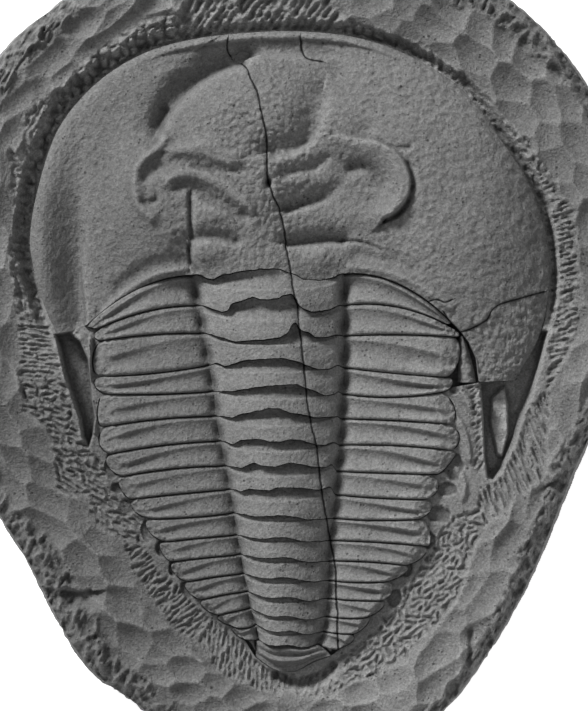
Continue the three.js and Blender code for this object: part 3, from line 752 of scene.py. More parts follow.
class BodyPlan:
    """Outlines of the slab and of every plate, as read off the photographed specimen."""

    OCCIPUT: Points = (
        (-38, 37), (-35, 36), (-30.5, 34), (-27, 36), (-20.5, 37), (-13, 38), (-6.5, 38),
        (-2, 36.5), (2, 34.5), (7.5, 34), (12.5, 35), (17, 37),
    )
    CREST_ROWS = (30.2, 19.4, 10.4, 0.7, -9, -18.4, -27.7, -36.7, -45.4, -53.3, -60.5, -68,
                  -75.6, -82.4, -88.6, -94.3)
    REAR_ROWS = (24.1, 12.2, 4, -4.7, -14, -24.1, -32.8, -41.4, -50.4, -58.3, -65.5, -72.7,
                 -79.9, -86.8, -92.2, -97.2)
    TIP_REACH = 1.3

    def __init__(self) -> None:
        """Draw the outlines."""
        self.slab = self._fit_slab()
        self.head_front = Trace(HEAD_POINTS, step=1.0)
        self.head_back = self._trace_head_back()
        self.fossil = self._trace_fossil()

    @staticmethod
    def _fit_slab() -> Trace:
        """Return the slab's outline, drawn to its exact width and length."""
        loop = Trace(SLAB_POINTS, closed=True, step=1.5)
        low, high = loop.points.min(axis=0), loop.points.max(axis=0)
        scale = np.array([SLAB_WIDTH, SLAB_LENGTH]) / (high - low)
        loop.points = (loop.points - (low + high) / 2) * scale
        return loop

    @staticmethod
    def _bow(a: Array, b: Array, c: Array, x: Array) -> Array:
        """Return the height at x of the curve through three points."""
        first = a[1] * (x - b[0]) * (x - c[0]) / ((a[0] - b[0]) * (a[0] - c[0]))
        second = b[1] * (x - a[0]) * (x - c[0]) / ((b[0] - a[0]) * (b[0] - c[0]))
        third = c[1] * (x - a[0]) * (x - b[0]) / ((c[0] - a[0]) * (c[0] - b[0]))
        return first + second + third

    def seam(self, number: int, q: Array) -> Array:
        """Return places along a seam.

        Args:
            number: The seam, from 0 behind the head to 16 before the tail.
            q: How far across: -2 left tip, -1 left furrow, 1 right furrow, 2 right tip.

        Returns:
            One place for each q.
        """
        knots = np.array(SEAM_POINTS[number], dtype=float)
        tip_l, mid_l, fur_l, fur_r, mid_r, tip_r = knots
        beyond = np.clip(np.abs(q) - 2, 0, None) * np.sign(q) * self.TIP_REACH
        q = np.clip(q, -2, 2)
        x = np.interp(q, [-2, -1, 1, 2], [tip_l[0], fur_l[0], fur_r[0], tip_r[0]])
        left = self._bow(tip_l, mid_l, fur_l, x)
        right = self._bow(fur_r, mid_r, tip_r, x)
        y = np.where(q < 0, left, right)
        ring = np.abs(q) < 1
        y[ring] = self._ring_edge(number, x[ring], (q[ring] + 1) / 2, fur_l, fur_r)
        return np.column_stack([x + beyond, y])

    def _ring_edge(self, number: int, x: Array, share: Array, left: Array,
                   right: Array) -> Array:
        """Return the chipped back edge of a ring across the axis."""
        straight = mix(left[1], right[1], share)
        pinned = smooth(0, 0.07, share) * (1 - smooth(0.93, 1, share))
        chips = self.OCCIPUT if number == 0 else CHIPPED_EDGES.get(number)
        if chips is None:
            sag = (left[1] + right[1]) / 2 - self.REAR_ROWS[number - 1]
            edge = straight - sag * 4 * share * (1 - share) - 0.9 * np.sin(2 * np.pi * share) ** 2
        else:
            known = np.array(chips, dtype=float)
            edge = np.interp(x, known[:, 0], known[:, 1])
        places = np.column_stack([x, np.full(len(x), 40.0 * number)])
        edge = edge + 0.3 * Noise.layered(places, 2.2, 70 + number, 3)
        return mix(straight, edge, pinned)

    def _trace_head_back(self) -> Trace:
        """Return the back margin of the head shield from its left corner to its right one."""
        across = self.seam(0, np.linspace(-2, 2, 260)) + np.array([0, SEAM_GAP / 2])
        points = np.vstack([LEFT_CORNER, across, RIGHT_CORNER])
        return Trace(points, straight=True)

    def _trace_fossil(self) -> Trace:
        """Return the outline of the whole animal: head shield, rib tips and tail."""
        right = []
        left = []
        for number in range(1, SEGMENTS + 1):
            right.extend(Segment.tip_outline(self, number, 1))
            left.extend(Segment.tip_outline(self, number, -1))
        tail = Trace(TAIL_POINTS, step=1.0).points[::-1]
        corner = np.array([RIGHT_CORNER[3]])
        past = [place for place in right if place[1] < -4]
        points = np.vstack([self.head_front.points, corner, past, tail, left[::-1]])
        return Trace(self._spaced(points, 0.5), closed=True, straight=True)

    @staticmethod
    def _spaced(points: Array, step: float) -> Array:
        """Return the loop with its points spaced evenly."""
        loop = Trace(points, closed=True, straight=True)
        count = int(loop.lengths()[-1] / step)
        return loop.at(np.arange(count) / count)


class Segment:
    """One thoracic segment: a ring across the axis with a rib to each side."""

    COLUMNS = 256
    ROWS = 26
    ROUNDING = 3.4

    def __init__(self, plan: BodyPlan, number: int) -> None:
        """Note which segment this is."""
        self.plan = plan
        self.number = number
        self.fade = (number - 1) / (SEGMENTS - 1)
        self.furrow = mix(FURROW_HEIGHT, LAST_FURROW_HEIGHT, self.fade)

    def narrowed(self, front: Array, back: Array, q: Array) -> Array:
        """Return how much of its length the rib keeps at each column near its blunt tip.

        Args:
            front: Its front edge.
            back: Its back edge.
            q: The columns.

        Returns:
            A share for each column.
        """
        ends = front[[0, -1], 0], back[[0, -1], 0]
        middle = (front[:, 0] + back[:, 0]) / 2
        left = middle - (ends[0][0] + ends[1][0]) / 2
        right = (ends[0][1] + ends[1][1]) / 2 - middle
        return np.where(q < 0, self.tapered(left, self.number, -1),
                        self.tapered(right, self.number, 1))

    @staticmethod
    def tapered(inward: Array, number: int, side: int) -> Array:
        """Return how much of its length a rib keeps some millimetres inward of its tip.

        Args:
            inward: How far inward.
            number: The segment.
            side: -1 for the left rib, 1 for the right one.

        Returns:
            The shares.
        """
        reach = Segment.ROUNDING * (1 + 0.4 * math.sin(2.3 * number + 1.1 * side))
        power = 2.2 * (1 + 0.3 * math.cos(1.7 * number + side))
        outward = 1 - np.clip(inward / reach, 0, 1)
        return np.maximum(np.sqrt(1 - outward ** power), 0.3)

    @staticmethod
    def tip_outline(plan: BodyPlan, number: int, side: int) -> list[Array]:
        """Return the outline of a rib's tip, walked from its front to its back.

        Args:
            plan: The outlines.
            number: The segment.
            side: -1 for the left rib, 1 for the right one.

        Returns:
            Its places.
        """
        q = side * np.linspace(1.9, 3, 12)
        front, back = plan.seam(number - 1, q), plan.seam(number, q)
        whole = side * np.linspace(-3, 3, 5)
        reach = (plan.seam(number - 1, whole)[-1, 0] + plan.seam(number, whole)[-1, 0]) / 2
        inward = side * (reach - (front[:, 0] + back[:, 0]) / 2)
        keep = Segment.tapered(inward, number, side)[:, None]
        middle = (front + back) / 2
        upper = middle + (front - middle) * keep
        lower = middle + (back - middle) * keep
        return [*upper, *lower[::-1]]

    def columns(self) -> Array:
        """Return the columns across the plate, closest at the tips and the furrows."""
        side = 1 + np.linspace(0, 1, 78)
        tip = 2 + np.linspace(0, 1, 9)[1:]
        ring = np.linspace(-1, 1, self.COLUMNS - 2 * (len(side) + len(tip)) + 2)[1:-1]
        return np.concatenate([-tip[::-1], -side[::-1], ring, side, tip])

    def grid(self) -> tuple[Array, Array, Array]:
        """Return the plate's places from above, with their q and their share front to back."""
        q = self.columns()
        gap = np.array([0, SEAM_GAP / 2])
        front = self.plan.seam(self.number - 1, q) - gap
        back = self.plan.seam(self.number, q) + gap
        keep = self.narrowed(front, back, q)[:, None]
        middle = (front + back) / 2
        front = middle + (front - middle) * keep
        back = middle + (back - middle) * keep
        share = (1 - np.cos(np.linspace(0, np.pi, self.ROWS + 1))) / 2
        share = mix(np.linspace(0, 1, self.ROWS + 1), share, 0.5)
        places = mix(back[None], front[None], share[:, None, None])
        across = np.broadcast_to(q, places.shape[:2])
        along = np.broadcast_to(1 - share[:, None], places.shape[:2])
        return places, across, along

    def rib_height(self, w: Array, v: Array, strength: Array) -> Array:
        """Return the height of a rib.

        Args:
            w: How far out along the rib, 0 at the axis and 1 at the tip.
            v: How far back across it, 0 at its front seam and 1 at its back edge.
            strength: How strongly its furrow is cut, 1 for the left ribs.

        Returns:
            Heights.
        """
        crest = mix(PLEURA_HEIGHT, LAST_PLEURA_HEIGHT, self.fade)
        rise = mix(np.clip(w / 0.8, 0, 1), smooth(0, 0.35, w), 0.35)
        base = mix(self.furrow, crest + 0.8, rise) - 0.7 * TIP_DROP * smooth(0.8, 1.06, w) ** 1.4
        depth = mix(0.9, 1.45, smooth(0.3, 0.75, w)) * (1 - 0.85 * smooth(0.8, 0.97, w))
        depth = depth * strength * (1 + 0.2 * math.sin(2.1 * self.number))
        ridge_at = mix(0.05, 0.08, w)
        lean = 1.7 + 0.4 * math.sin(1.3 * self.number)
        band_at = mix(0.1, 0.56 + 0.08 * math.cos(2.7 * self.number), np.clip(w, 0, 1) ** lean)
        knots = (
            (0 * w, -1.1 + 0 * w), (ridge_at, -0.3 + 0 * w),
            (np.maximum(band_at, ridge_at + 0.02), 0 * w), (0.86 + 0 * w, 0.3 + 0 * w),
            (0.94 + 0 * w, 0.15 + 0 * w), (1 + 0 * w, -0.9 + 0 * w),
        )
        profile = np.full(w.shape, -1.1)
        for (v0, h0), (v1, h1) in zip(knots, knots[1:]):
            profile = np.where(v >= v0, mix(h0, h1, smooth(0, 1, (v - v0) / (v1 - v0))), profile)
        hollow = np.clip((v - band_at) / (0.9 - band_at), 0, 1)
        profile -= 5.4 * depth * hollow * (1 - hollow) ** 1.7
        return base + profile * mix(1, 0.75, self.fade)

    def ring_height(self, share: Array, places: Array) -> Array:
        """Return the height of the axial ring.

        Args:
            share: How far across it, from 0 at its left furrow to 1 at its right one.
            places: The places, for the distance from its crest line.

        Returns:
            Heights.
        """
        arch = 1 - np.abs(2 * share ** mix(1, 0.68, self.fade) - 1) ** 2.0
        top = mix(self.furrow, mix(RING_HEIGHT, LAST_RING_HEIGHT, self.fade ** 1.3) - 1.0, arch)
        row = self.plan.CREST_ROWS[self.number - 1]
        ahead = places[:, 1] - (row + 4.2 * mix(1, 0.6, self.fade) * (1 - arch) ** 1.5)
        step = mix(1, 0.85, self.fade) * smooth(0, 0.3, arch)
        z = top - step * (1.1 * smooth(0, 1.0, ahead) + 2.0 * smooth(0.8, 5, ahead))
        return z + 1.0 * step * smooth(0, 6, -ahead)

    def relief(self, places: Array, q: Array, v: Array) -> Array:
        """Return the height of every place of the plate.

        Args:
            places: The places.
            q: How far across each lies, as for a seam.
            v: How far back.

        Returns:
            The heights.
        """
        w = np.clip(np.abs(q) - 1, 0, 1)
        share = (np.clip(q, -1, 1) + 1) / 2
        rib = self.rib_height(w, v, np.where(q > 0, 1.6, 1.0))
        z = np.where(np.abs(q) >= 1, rib, self.ring_height(share, places))
        ahead, behind = np.array(SEAM_POINTS[self.number - 1:self.number + 1], dtype=float)
        for side, column in ((-1, 2), (1, 3)):
            middle = mix(ahead[column], behind[column], 0.68)
            reach = np.hypot((places[:, 0] - middle[0] + side * 0.3) / 2.1,
                             (places[:, 1] - middle[1]) / 2.6)
            z -= mix(2.4, 1.2, self.fade) * bell(reach, 1.0)
        spread = np.where(np.abs(q) > 1, 30, 24) * mix(1, 0.4, self.fade)
        furrow_gap = np.abs(np.abs(q) - 1) * spread
        z -= mix(1.5, 0.8, self.fade) * bell(furrow_gap, 1.9)
        beyond = np.clip(np.abs(q) - 2, 0, 1)
        z += 0.22 * Noise.layered(places, 5.0, 31, 4) - 1.4 * beyond ** 2
        grainy = 0.9 + 4.6 * smooth(0.78, 0.93, w) + 1.4 * smooth(0.68, 0.85, v)
        rough = np.where(np.abs(q) < 1, 1.9, grainy)
        z += 0.12 * rough * Noise.layered(places, 1.3, 37, 2)
        return z

    def build(self) -> Piece:
        """Return the plate as a piece."""
        places, q, v = self.grid()
        flat = places.reshape(-1, 2)
        z = self.relief(flat, q.ravel(), v.ravel())
        cracks = CrackSet((LONG_CRACK,))
        z -= cracks.groove(flat)
        z = np.minimum(z, HEAD_LIMIT)
        grid = np.dstack([places, z.reshape(q.shape)])
        shape = Shape.from_sheet(grid, BED_HEIGHT)
        numbers = Skin.numbers(shape, cracks, 0.7)
        # Painted light and shade: the right ribs are painted lighter, each ring lighter on its left
        # part and darker on its right as the light falls from the upper left, and ridges lighter
        # and hollows darker.
        painted_light = 1 + 0.07 * smooth(20, 40, flat[:, 0])
        share = (np.clip(q.ravel(), -1, 1) + 1) / 2
        for first, last, centre in ((0.06, 0.16, 0.28), (-0.06, -0.24, 0.78)):
            painted_light += mix(first, last, self.fade) * bell(share - centre, 0.2)
        numbers["tone_and_painted_light"][:z.size] *= Skin.painted_relief_light(grid[:, :, 2], 5, 0.35).ravel() * painted_light
        return Piece.shell(f"thoracic_segment_{self.number:02d}", shape, numbers)


class CrackSet:
    """Fine cracks that run across the plates."""

    def __init__(self, paths: tuple[Points, ...]) -> None:
        """Draw the cracks."""
        self.traces = [Trace(self._kinked(np.array(path, float)), straight=True) for path in paths]

    @staticmethod
    def _kinked(path: Array) -> Array:
        """Return the path drawn with small kinks."""
        points = Trace(path, step=0.6).points
        shift = 0.28 * Noise.layered(points, 2.0, 91, 3)
        points = points.copy()
        points[1:-1, 0] += shift[1:-1]
        return points

    def gaps(self, xy: Array) -> tuple[Array, Array]:
        """Return the signed distance to the nearest crack, and whether it shows there.

        Args:
            xy: Places, one row each.

        Returns:
            The distances, and 1 near a crack and 0 elsewhere.
        """
        nearest = np.full(len(xy), FAR)
        for trace in self.traces:
            low, high = trace.points.min(axis=0) - 3, trace.points.max(axis=0) + 3
            near = np.flatnonzero(np.all((xy > low) & (xy < high), axis=1))
            if len(near):
                reach = trace.signed(xy[near])
                closer = np.abs(reach) < np.abs(nearest[near])
                nearest[near[closer]] = reach[closer]
        return nearest, 1 - smooth(1.0, 1.8, np.abs(nearest))

    def groove(self, xy: Array) -> Array:
        """Return how deep the cracks cut at each place."""
        reach, _ = self.gaps(xy)
        return 0.5 * bell(reach, 0.4)


class Skin:
    """Numbers that the shader reads off each vertex."""

    @staticmethod
    def painted_relief_light(heights: Array, reach: int, strength: float, around: bool = False
                    ) -> Array:
        """Return painted light and shade: a tone lighter on ridges and darker in hollows, as light
        and shade fall.

        Args:
            heights: Heights of a sheet, by rows and columns.
            reach: Rows and columns that each height is compared with.
            strength: Tone gained for each millimetre above the neighbours.
            around: Whether the sheet's rows close on themselves.

        Returns:
            One factor for each place.
        """
        soft = heights
        for axis in (0, 1):
            pad = [(reach, reach) if k == axis else (0, 0) for k in (0, 1)]
            wide = np.pad(soft, pad, mode="wrap" if around and axis == 1 else "edge")
            total = np.cumsum(np.insert(wide, 0, 0.0, axis=axis), axis=axis)
            span = 2 * reach + 1
            count = heights.shape[axis]
            soft = (np.take(total, np.arange(span, span + count), axis)
                    - np.take(total, np.arange(count), axis)) / span
        return 1 + np.clip(strength * (heights - soft), -0.38, 0.3)

    @staticmethod
    def numbers(shape: Shape, cracks: CrackSet | None, depth: float) -> dict[str, Array]:
        """Return the crack distance and the tone of every vertex of a shape, with painted light.

        Args:
            shape: The body.
            cracks: Cracks that cross it, if any.
            depth: How strongly the tone varies from place to place.

        Returns:
            The numbers by name.
        """
        flat = shape.corners[:, :2]
        if cracks is None:
            gap, shown = np.full(len(flat), FAR), np.zeros(len(flat))
        else:
            gap, shown = cracks.gaps(flat)
        low = 1 - smooth(-10, 45, flat[:, 1])
        side = smooth(-45, 45, flat[:, 0])
        tone_and_painted_light = 1 + 0.07 * depth * Noise.layered(flat, 30, 7, 3)
        # Painted light: towards the bottom the left side is painted darker and the right side
        # lighter, as if the light fell weaker on the left and stronger on the right.
        tone_and_painted_light *= 1 + low * mix(-0.14, 0.2, side)
        return {"crack": gap, "cracked": shown, "tone_and_painted_light": tone_and_painted_light}


class HeadShield:
    """The cephalon: cheeks, glabella with its furrows, and the lobes over the eyes."""

    COLUMNS = 470
    ROWS = 194
    CROWN_LIMIT = 37.8
    SWELLS = (
        Swell((-46, 62), (21, 26, 24, 22), 9.6), Swell((58, 54), (24, 26, 40, 46), 9.8),
        Swell((34, 88), (22, 26, 25, 26), 5.6), Swell((-15, 92), (25, 22, 18, 27), 9.6),
        Swell((-18, 50), (17, 18, 30, 30), 4.6), Swell((-10, 33), (22, 21, 13, 20), 4.4),
        Swell((-91, 44), (5, 8, 27, 30), 2.4), Swell((-79.5, 42), (8, 2.6, 25, 30), -3.6),
    )
    LOBES = (
        Swell((-30.8, 58), (5.5, 6, 4, 4.5), 1.8), Swell((-32.6, 44.3), (5, 7, 4.5, 5), 2.0),
        Swell((8.8, 42.8), (6.5, 7, 3.6, 5), 2.4), Swell((13.5, 57), (11, 14, 4, 6), 1.6),
        Swell((4, 70), (8, 9, 3, 4), 1.0), Swell((24.7, 88.2), (4, 4, 3.5, 4), -1.5),
        Swell((-10.6, 69.1), (1.0, 1.2, 1.9, 2.1), -3.6),
        Swell((12, 91), (6, 10, 8, 8), 1.2),
    )
    FOLDS = (
        Fold(((-55, 88), (-54.5, 97), (-51.5, 105.5), (-46, 111.5), (-38.5, 116)),
             2.6, 9.0, 4.0, 0.0, 1.0),
        Fold(((-51.4, 84.5), (-50.6, 88.5), (-49.6, 92), (-48, 95.5)), -2.8, 2.4, 1.8, 0.5, 1.0),
        Fold(((-49.6, 90), (-46.6, 95.6), (-43.2, 100), (-39.3, 103.8), (-35.2, 107),
              (-30.6, 109.8), (-25.6, 112), (-20.4, 113.6)), -9.6, 4.9, 2.3, 0.45, 0.95),
        Fold(((-18, 116.2), (-8, 117), (1.5, 116.5), (9, 114.5), (14, 110)), -2.0, 4.0, 2.4),
        Fold(((-47.7, 84.6), (-50.9, 81), (-54.5, 78.1), (-57.1, 75.2), (-58.1, 71.6),
              (-58.3, 67.3), (-57.8, 63), (-56, 59.8), (-52.4, 56.5)), 2.9, 2.3, 1.9, 1.3, 0.7),
        Fold(((-54.5, 70.6), (-52.4, 72.7), (-48.8, 75.2)), -1.5, 1.6),
        Fold(((-55.3, 61.9), (-53.1, 61.9), (-50.9, 62.6)), -1.6, 1.3),
        Fold(((-45.2, 80.3), (-38.7, 80.6), (-33.3, 80.6), (-28.6, 78.8), (-24.3, 77)),
             2.6, 3.2, 2.2),
        Fold(((-36.5, 74.6), (-30.8, 73.8), (-25.7, 73.4), (-20.7, 73.1)), -1.2, 2.2, 1.4),
        Fold(((-45.9, 69.8), (-41.6, 72), (-36.5, 72), (-31.5, 70.2), (-26.1, 67.7),
              (-21.8, 64.4), (-17.1, 59.6)), 2.6, 1.8, 2.4),
        Fold(((-43, 68), (-36.9, 67), (-32.6, 64), (-28.6, 61.6), (-24.3, 60), (-19.6, 57.6)),
             -3.0, 3.4, 2.2, 0.7, 1.1),
        Fold(((-36.8, 49.4), (-31.5, 49.8), (-26.5, 49.2), (-22.5, 48)), -2.6, 2.4, 1.6),
        Fold(((-38.6, 65), (-38.5, 54), (-38.7, 44), (-38.3, 40.5), (-36.5, 37.8)),
             -2.4, 1.2, 0.8),
        Fold(((-39.4, 46.5), (-39.2, 43), (-38.8, 39.5)), -2.4, 1.0, 4.4),
        Fold(((8.5, 99.7), (7.4, 94.7), (5.9, 89.3), (3.1, 84.6), (-2, 82.1), (-8.5, 80.3)),
             -4.6, 2.4, 6.0, 0.6, 1.1),
        Fold(((-5.2, 71.6), (-0.2, 73.2), (5.2, 74.4), (9.5, 77)), -1.7, 2.6, 1.4),
        Fold(((-3.8, 59.6), (0.9, 61.2), (5.6, 62.8), (10.6, 64.8), (15.3, 67.8)),
             -3.7, 2.7, 1.6, 1.1, 0.3),
        Fold(((-3.4, 47.2), (1.6, 47.5), (7.4, 48.2), (12.8, 48.6), (16, 48.2)), -3.8, 3.0, 1.3),
        Fold(((16, 48.4), (21.8, 48.2), (26.8, 46.8), (30.4, 45)), -1.2, 0.6),
        Fold(((14.6, 85.7), (20.7, 84.2), (26.8, 83.5), (31.9, 81.4), (35.8, 77.8),
              (38.3, 73.8), (39.4, 69.5), (38.7, 64.8), (36.2, 60.8), (32.6, 57.2)),
             5.0, 1.2, 5.4, 0.45, 1.0),
        Fold(((19.6, 74.5), (23.6, 74.9), (27.5, 73.1), (29.7, 69.5)), -3.0, 2.4),
        Fold(((39.8, 75.6), (41.1, 70.2), (40.6, 64.8), (38.7, 60.4), (35.8, 57.6),
              (31.1, 55.6)), -2.8, 0.9, 0.9, 0.6, 1.2),
        Fold(((29, 84.6), (34, 81.9), (39.8, 81.7)), -1.0, 0.7),
        Fold(((-77.2, 49.3), (-78.3, 45), (-78.8, 40.7), (-78.3, 36), (-77.9, 30.6),
              (-77.2, 25.2), (-76.9, 19.1)), -2.0, 0.7, 6.0, 0.3, 1.4),
        Fold(((-40, 38.5), (-50, 36.5), (-60, 31.5), (-70, 23)), 1.4, 1.3, 1.1),
        Fold(((-45, 42), (-55, 38.5), (-64, 31.5)), -1.5, 3.4, 2.6),
        Fold(((19, 39), (30, 37.5), (42, 33), (55, 24)), 1.2, 1.3),
        Fold(((22, 43.5), (34, 41.5), (42, 38)), -1.2, 2.4),
    )
    # Painted shade: broad patches that darken the head's colour on its dim slopes and hollows.
    SHADES = (
        Swell((-84, 45), (12, 5, 30, 34), -0.2), Swell((-60, 72), (26, 22, 44, 34), -0.19),
        Swell((-44, 104), (14, 18, 14, 12), -0.14), Swell((-10, 110), (20, 22, 6, 8), -0.1),
        Swell((84, 30), (14, 10, 50, 60), -0.14), Swell((-6, 32), (24, 22, 8, 10), -0.2),
    )
    FLAKE: Points = (
        (59, 15), (62, 17.5), (67, 18.5), (70.5, 23.5), (74.5, 26), (85, 29), (89, 30),
        (92, 23.5), (90, 7), (83, -4), (66.5, -4), (64.5, 5.5),
    )

    def __init__(self, plan: BodyPlan) -> None:
        """Keep the plan that holds the shield's margins."""
        self.plan = plan

    def grid(self) -> Array:
        """Return the shield's places from above, back to front."""
        back, front = self.plan.head_back, self.plan.head_front
        known = [(back.share_of(b), front.share_of(f)) for b, f in HEAD_ANCHORS]
        share = np.linspace(0, 1, self.COLUMNS)
        target = np.interp(share, [k[0] for k in known], [k[1] for k in known])
        across = 1 - (1 - np.linspace(0, 1, self.ROWS)) ** 1.2
        return mix(back.at(share)[None], front.at(target)[None], across[:, None, None])

    def relief(self, xy: Array) -> Array:
        """Return the height of every place of the shield, fine texture left out."""
        margin = self.plan.head_front.distance(xy)
        frontness = smooth(60, 108, xy[:, 1])
        z = MARGIN_HEIGHT + 1.6 * (1 - np.exp(-margin / 1.6))
        left = 1 - smooth(-90, -60, xy[:, 0])
        z += 1.7 * left * bell(np.clip(margin - 2.0, 0, None), 6.0) * (1 - frontness)
        middle = smooth(-62, -38, xy[:, 0]) * (1 - smooth(14, 42, xy[:, 0]))
        z += 1.1 * bell(margin - 1.8, 1.3) * frontness * middle
        z -= 1.2 * smooth(2.6, 3.6, margin) * (1 - smooth(7, 10, margin)) * frontness * middle
        z -= 1.8 * smooth(60, 85, xy[:, 0]) * bell(margin, 6.5) * (1 - frontness)
        for swell in self.SWELLS:
            z += swell.raised(xy)
        z = self._eased(z, self.CROWN_LIMIT, 2.2)
        for lift in (*self.LOBES, *self.FOLDS):
            z += lift.raised(xy)
        return z

    @staticmethod
    def _eased(z: Array, limit: float, run: float) -> Array:
        """Return heights that level off below a limit, over a run beneath it."""
        over = np.maximum(z - limit + run, 0)
        return z - over + run * np.tanh(over / run)

    def texture(self, xy: Array) -> Array:
        """Return the small relief: leathery right cheek, worn glabella, rough broken corner.

        Args:
            xy: Places, one row each.

        Returns:
            The heights to add.
        """
        z = 0.45 * Noise.layered(xy, 14, 11, 3)
        leather = smooth(16, 40, xy[:, 0] + 6 * Noise.layered(xy, 16, 9, 2))
        stretched = xy @ np.array([[0.8, -0.5], [0.35, 0.9]])
        wrinkles = np.abs(Noise.layered(stretched, 4.2, 5, 4))
        z += leather * (1.1 * np.minimum(wrinkles, 0.3) + 0.24 * Noise.layered(xy, 1.6, 6, 2))
        worn = bell(np.hypot((xy[:, 0] + 14) / 34, (xy[:, 1] - 72) / 46), 1.0)
        near, second = Noise.cells(xy @ np.array([[1.0, 0.2], [-0.1, 1.0]]), 2.7, 19)
        z += worn * (0.42 * Noise.layered(xy, 3.0, 13, 3) + 0.42 * smooth(0, 0.45, second - near))
        rim = bell(np.hypot((xy[:, 0] + 54) / 7, (xy[:, 1] - 71) / 17), 1.0)
        z += 0.75 * rim * Noise.layered(xy, 2.4, 41, 3)
        pits, _ = Noise.cells(xy, 3.6, 17)
        z -= 0.4 * bell(pits, 0.2) * smooth(0.05, 0.4, Noise.layered(xy, 11, 15, 2))
        near, second = Noise.cells(xy, 3.4, 19)
        flake = smooth(-0.4, 0.6, Trace(self.FLAKE, closed=True, straight=True).signed(xy))
        z += flake * (0.5 * Noise.layered(xy, 3.2, 23, 4) - 0.7 + 0.5 * (second - near))
        return z + 0.28 * Noise.layered(xy, 1.5, 29, 2)

    def build(self) -> Piece:
        """Return the head shield as a piece."""
        places = self.grid()
        flat = places.reshape(-1, 2)
        cracks = CrackSet((LONG_CRACK, CORNER_CRACK, *CHEEK_CRACKS))
        z = self.relief(flat) + self.texture(flat)
        z = self._eased(z, HEAD_LIMIT - 0.05, 1.0) - cracks.groove(flat)
        grid = np.dstack([places, z.reshape(places.shape[:2])])
        shape = Shape.from_sheet(grid, BED_HEIGHT)
        numbers = Skin.numbers(shape, cracks, 1.0)
        # Painted shade from the patches, with ridges painted lighter and hollows darker.
        shade = 1 + sum(patch.raised(flat) for patch in self.SHADES)
        numbers["tone_and_painted_light"][:z.size] *= Skin.painted_relief_light(grid[:, :, 2], 3, 0.45).ravel() * shade
        return Piece.shell("cephalon", shape, numbers)


class TailShield:
    """The pygidium, small and broad, behind the last segment."""

    COLUMNS = 80
    ROWS = 44
    CROWN = 30.6
    MARGIN = 25.2

    def __init__(self, plan: BodyPlan) -> None:
        """Keep the plan that holds the last seam."""
        self.plan = plan

    def build(self) -> Piece:
        """Return the tail shield as a piece."""
        q = np.linspace(-1.2, 1.2, self.COLUMNS)
        front = self.plan.seam(SEGMENTS, q) - np.array([0, SEAM_GAP / 2])
        back = Trace(TAIL_POINTS, step=0.5).at(np.linspace(0, 1, self.COLUMNS))
        share = np.linspace(0, 1, self.ROWS)
        places = mix(back[None], front[None], share[:, None, None])
        flat = places.reshape(-1, 2)
        across = np.broadcast_to(np.linspace(-1, 1, self.COLUMNS), places.shape[:2]).ravel()
        along = np.broadcast_to(share[:, None], places.shape[:2]).ravel()
        arch = 1 - np.abs(across) ** 2
        top = self.CROWN - 4.4 * smooth(0.45, 0.05, along) - 2.2 * bell(along - 0.62, 0.1)
        top -= 2.0 * bell(along - 0.25, 0.09) + 2.2 * smooth(0.85, 1.0, along)
        z = mix(self.MARGIN, top, arch) + 0.15 * Noise.layered(flat, 2.6, 47, 3)
        cracks = CrackSet((LONG_CRACK,))
        grid = np.dstack([places, (z - cracks.groove(flat)).reshape(places.shape[:2])])
        shape = Shape.from_sheet(grid, BED_HEIGHT)
        return Piece.shell("pygidium", shape, Skin.numbers(shape, cracks, 0.7))


class CarveSheet:
    """A raster over the slab that collects how deep tools cut, the deepest cut winning."""

    CELL = 0.3

    def __init__(self) -> None:
        """Start with an uncut sheet."""
        self.low = np.array([-SLAB_WIDTH / 2 - 2, -SLAB_LENGTH / 2 - 2])
        shape = (int((SLAB_WIDTH + 4) / self.CELL) + 1, int((SLAB_LENGTH + 4) / self.CELL) + 1)
        self.depth = np.zeros(shape, dtype=np.float32)

    def stamp(self, place: Array, angle: float, length: float, width: float,
              depth: float, fall: float, edge: float = 2.0, blunt: int = 2) -> None:
        """Cut one hollow.

        Args:
            place: Its centre.
            angle: Direction of its long axis, in radians.
            length: Half its length.
            width: Half its width.
            depth: How deep it is in the middle.
            fall: How much shallower it would be at its half length or half width.
            edge: Power of the profile: 2 is a bowl, 1 a wedge.
            blunt: How suddenly it ends along its axis: 2 like a bowl, 4 like a trench.
        """
        reach = max(length, width)
        first = np.maximum(((place - reach - self.low) / self.CELL).astype(int), 0)
        last = np.minimum(((place + reach - self.low) / self.CELL).astype(int) + 2,
                          self.depth.shape)
        if np.any(last <= first):
            return
        x = self.low[0] + self.CELL * np.arange(first[0], last[0])[:, None] - place[0]
        y = self.low[1] + self.CELL * np.arange(first[1], last[1])[None, :] - place[1]
        along = (x * math.cos(angle) + y * math.sin(angle)) / length
        across = (y * math.cos(angle) - x * math.sin(angle)) / width
        cut = depth - fall * (along ** blunt + across ** 2) ** (edge / 2)
        window = self.depth[first[0]:last[0], first[1]:last[1]]
        np.maximum(window, cut, out=window)

    def sample(self, xy: Array) -> Array:
        """Return the depth at each place."""
        cell = (xy - self.low) / self.CELL
        limit = np.array(self.depth.shape) - 2
        first = np.clip(np.floor(cell).astype(int), 0, limit)
        part = np.clip(cell - first, 0, 1)
        i, j = first[:, 0], first[:, 1]
        low = mix(self.depth[i, j], self.depth[i + 1, j], part[:, 0])
        high = mix(self.depth[i, j + 1], self.depth[i + 1, j + 1], part[:, 0])
        return mix(low, high, part[:, 1])


@dataclass(frozen=True)
class ToolZone:
    """The moat and the gouge scoops in one direction from the hub, in degrees and millimetres.

    The moat's floor lies at a height; its wall starts some way out from the animal and rises over
    a run. The scoops start further out, and the rock past them is ragged up to the slab's edge.
    """

    angle: float
    floor: float
    start: float
    run: float
    outer: float
    scoop_length: float
    scoop_width: float
    scoop_heading: float
    ragged: float


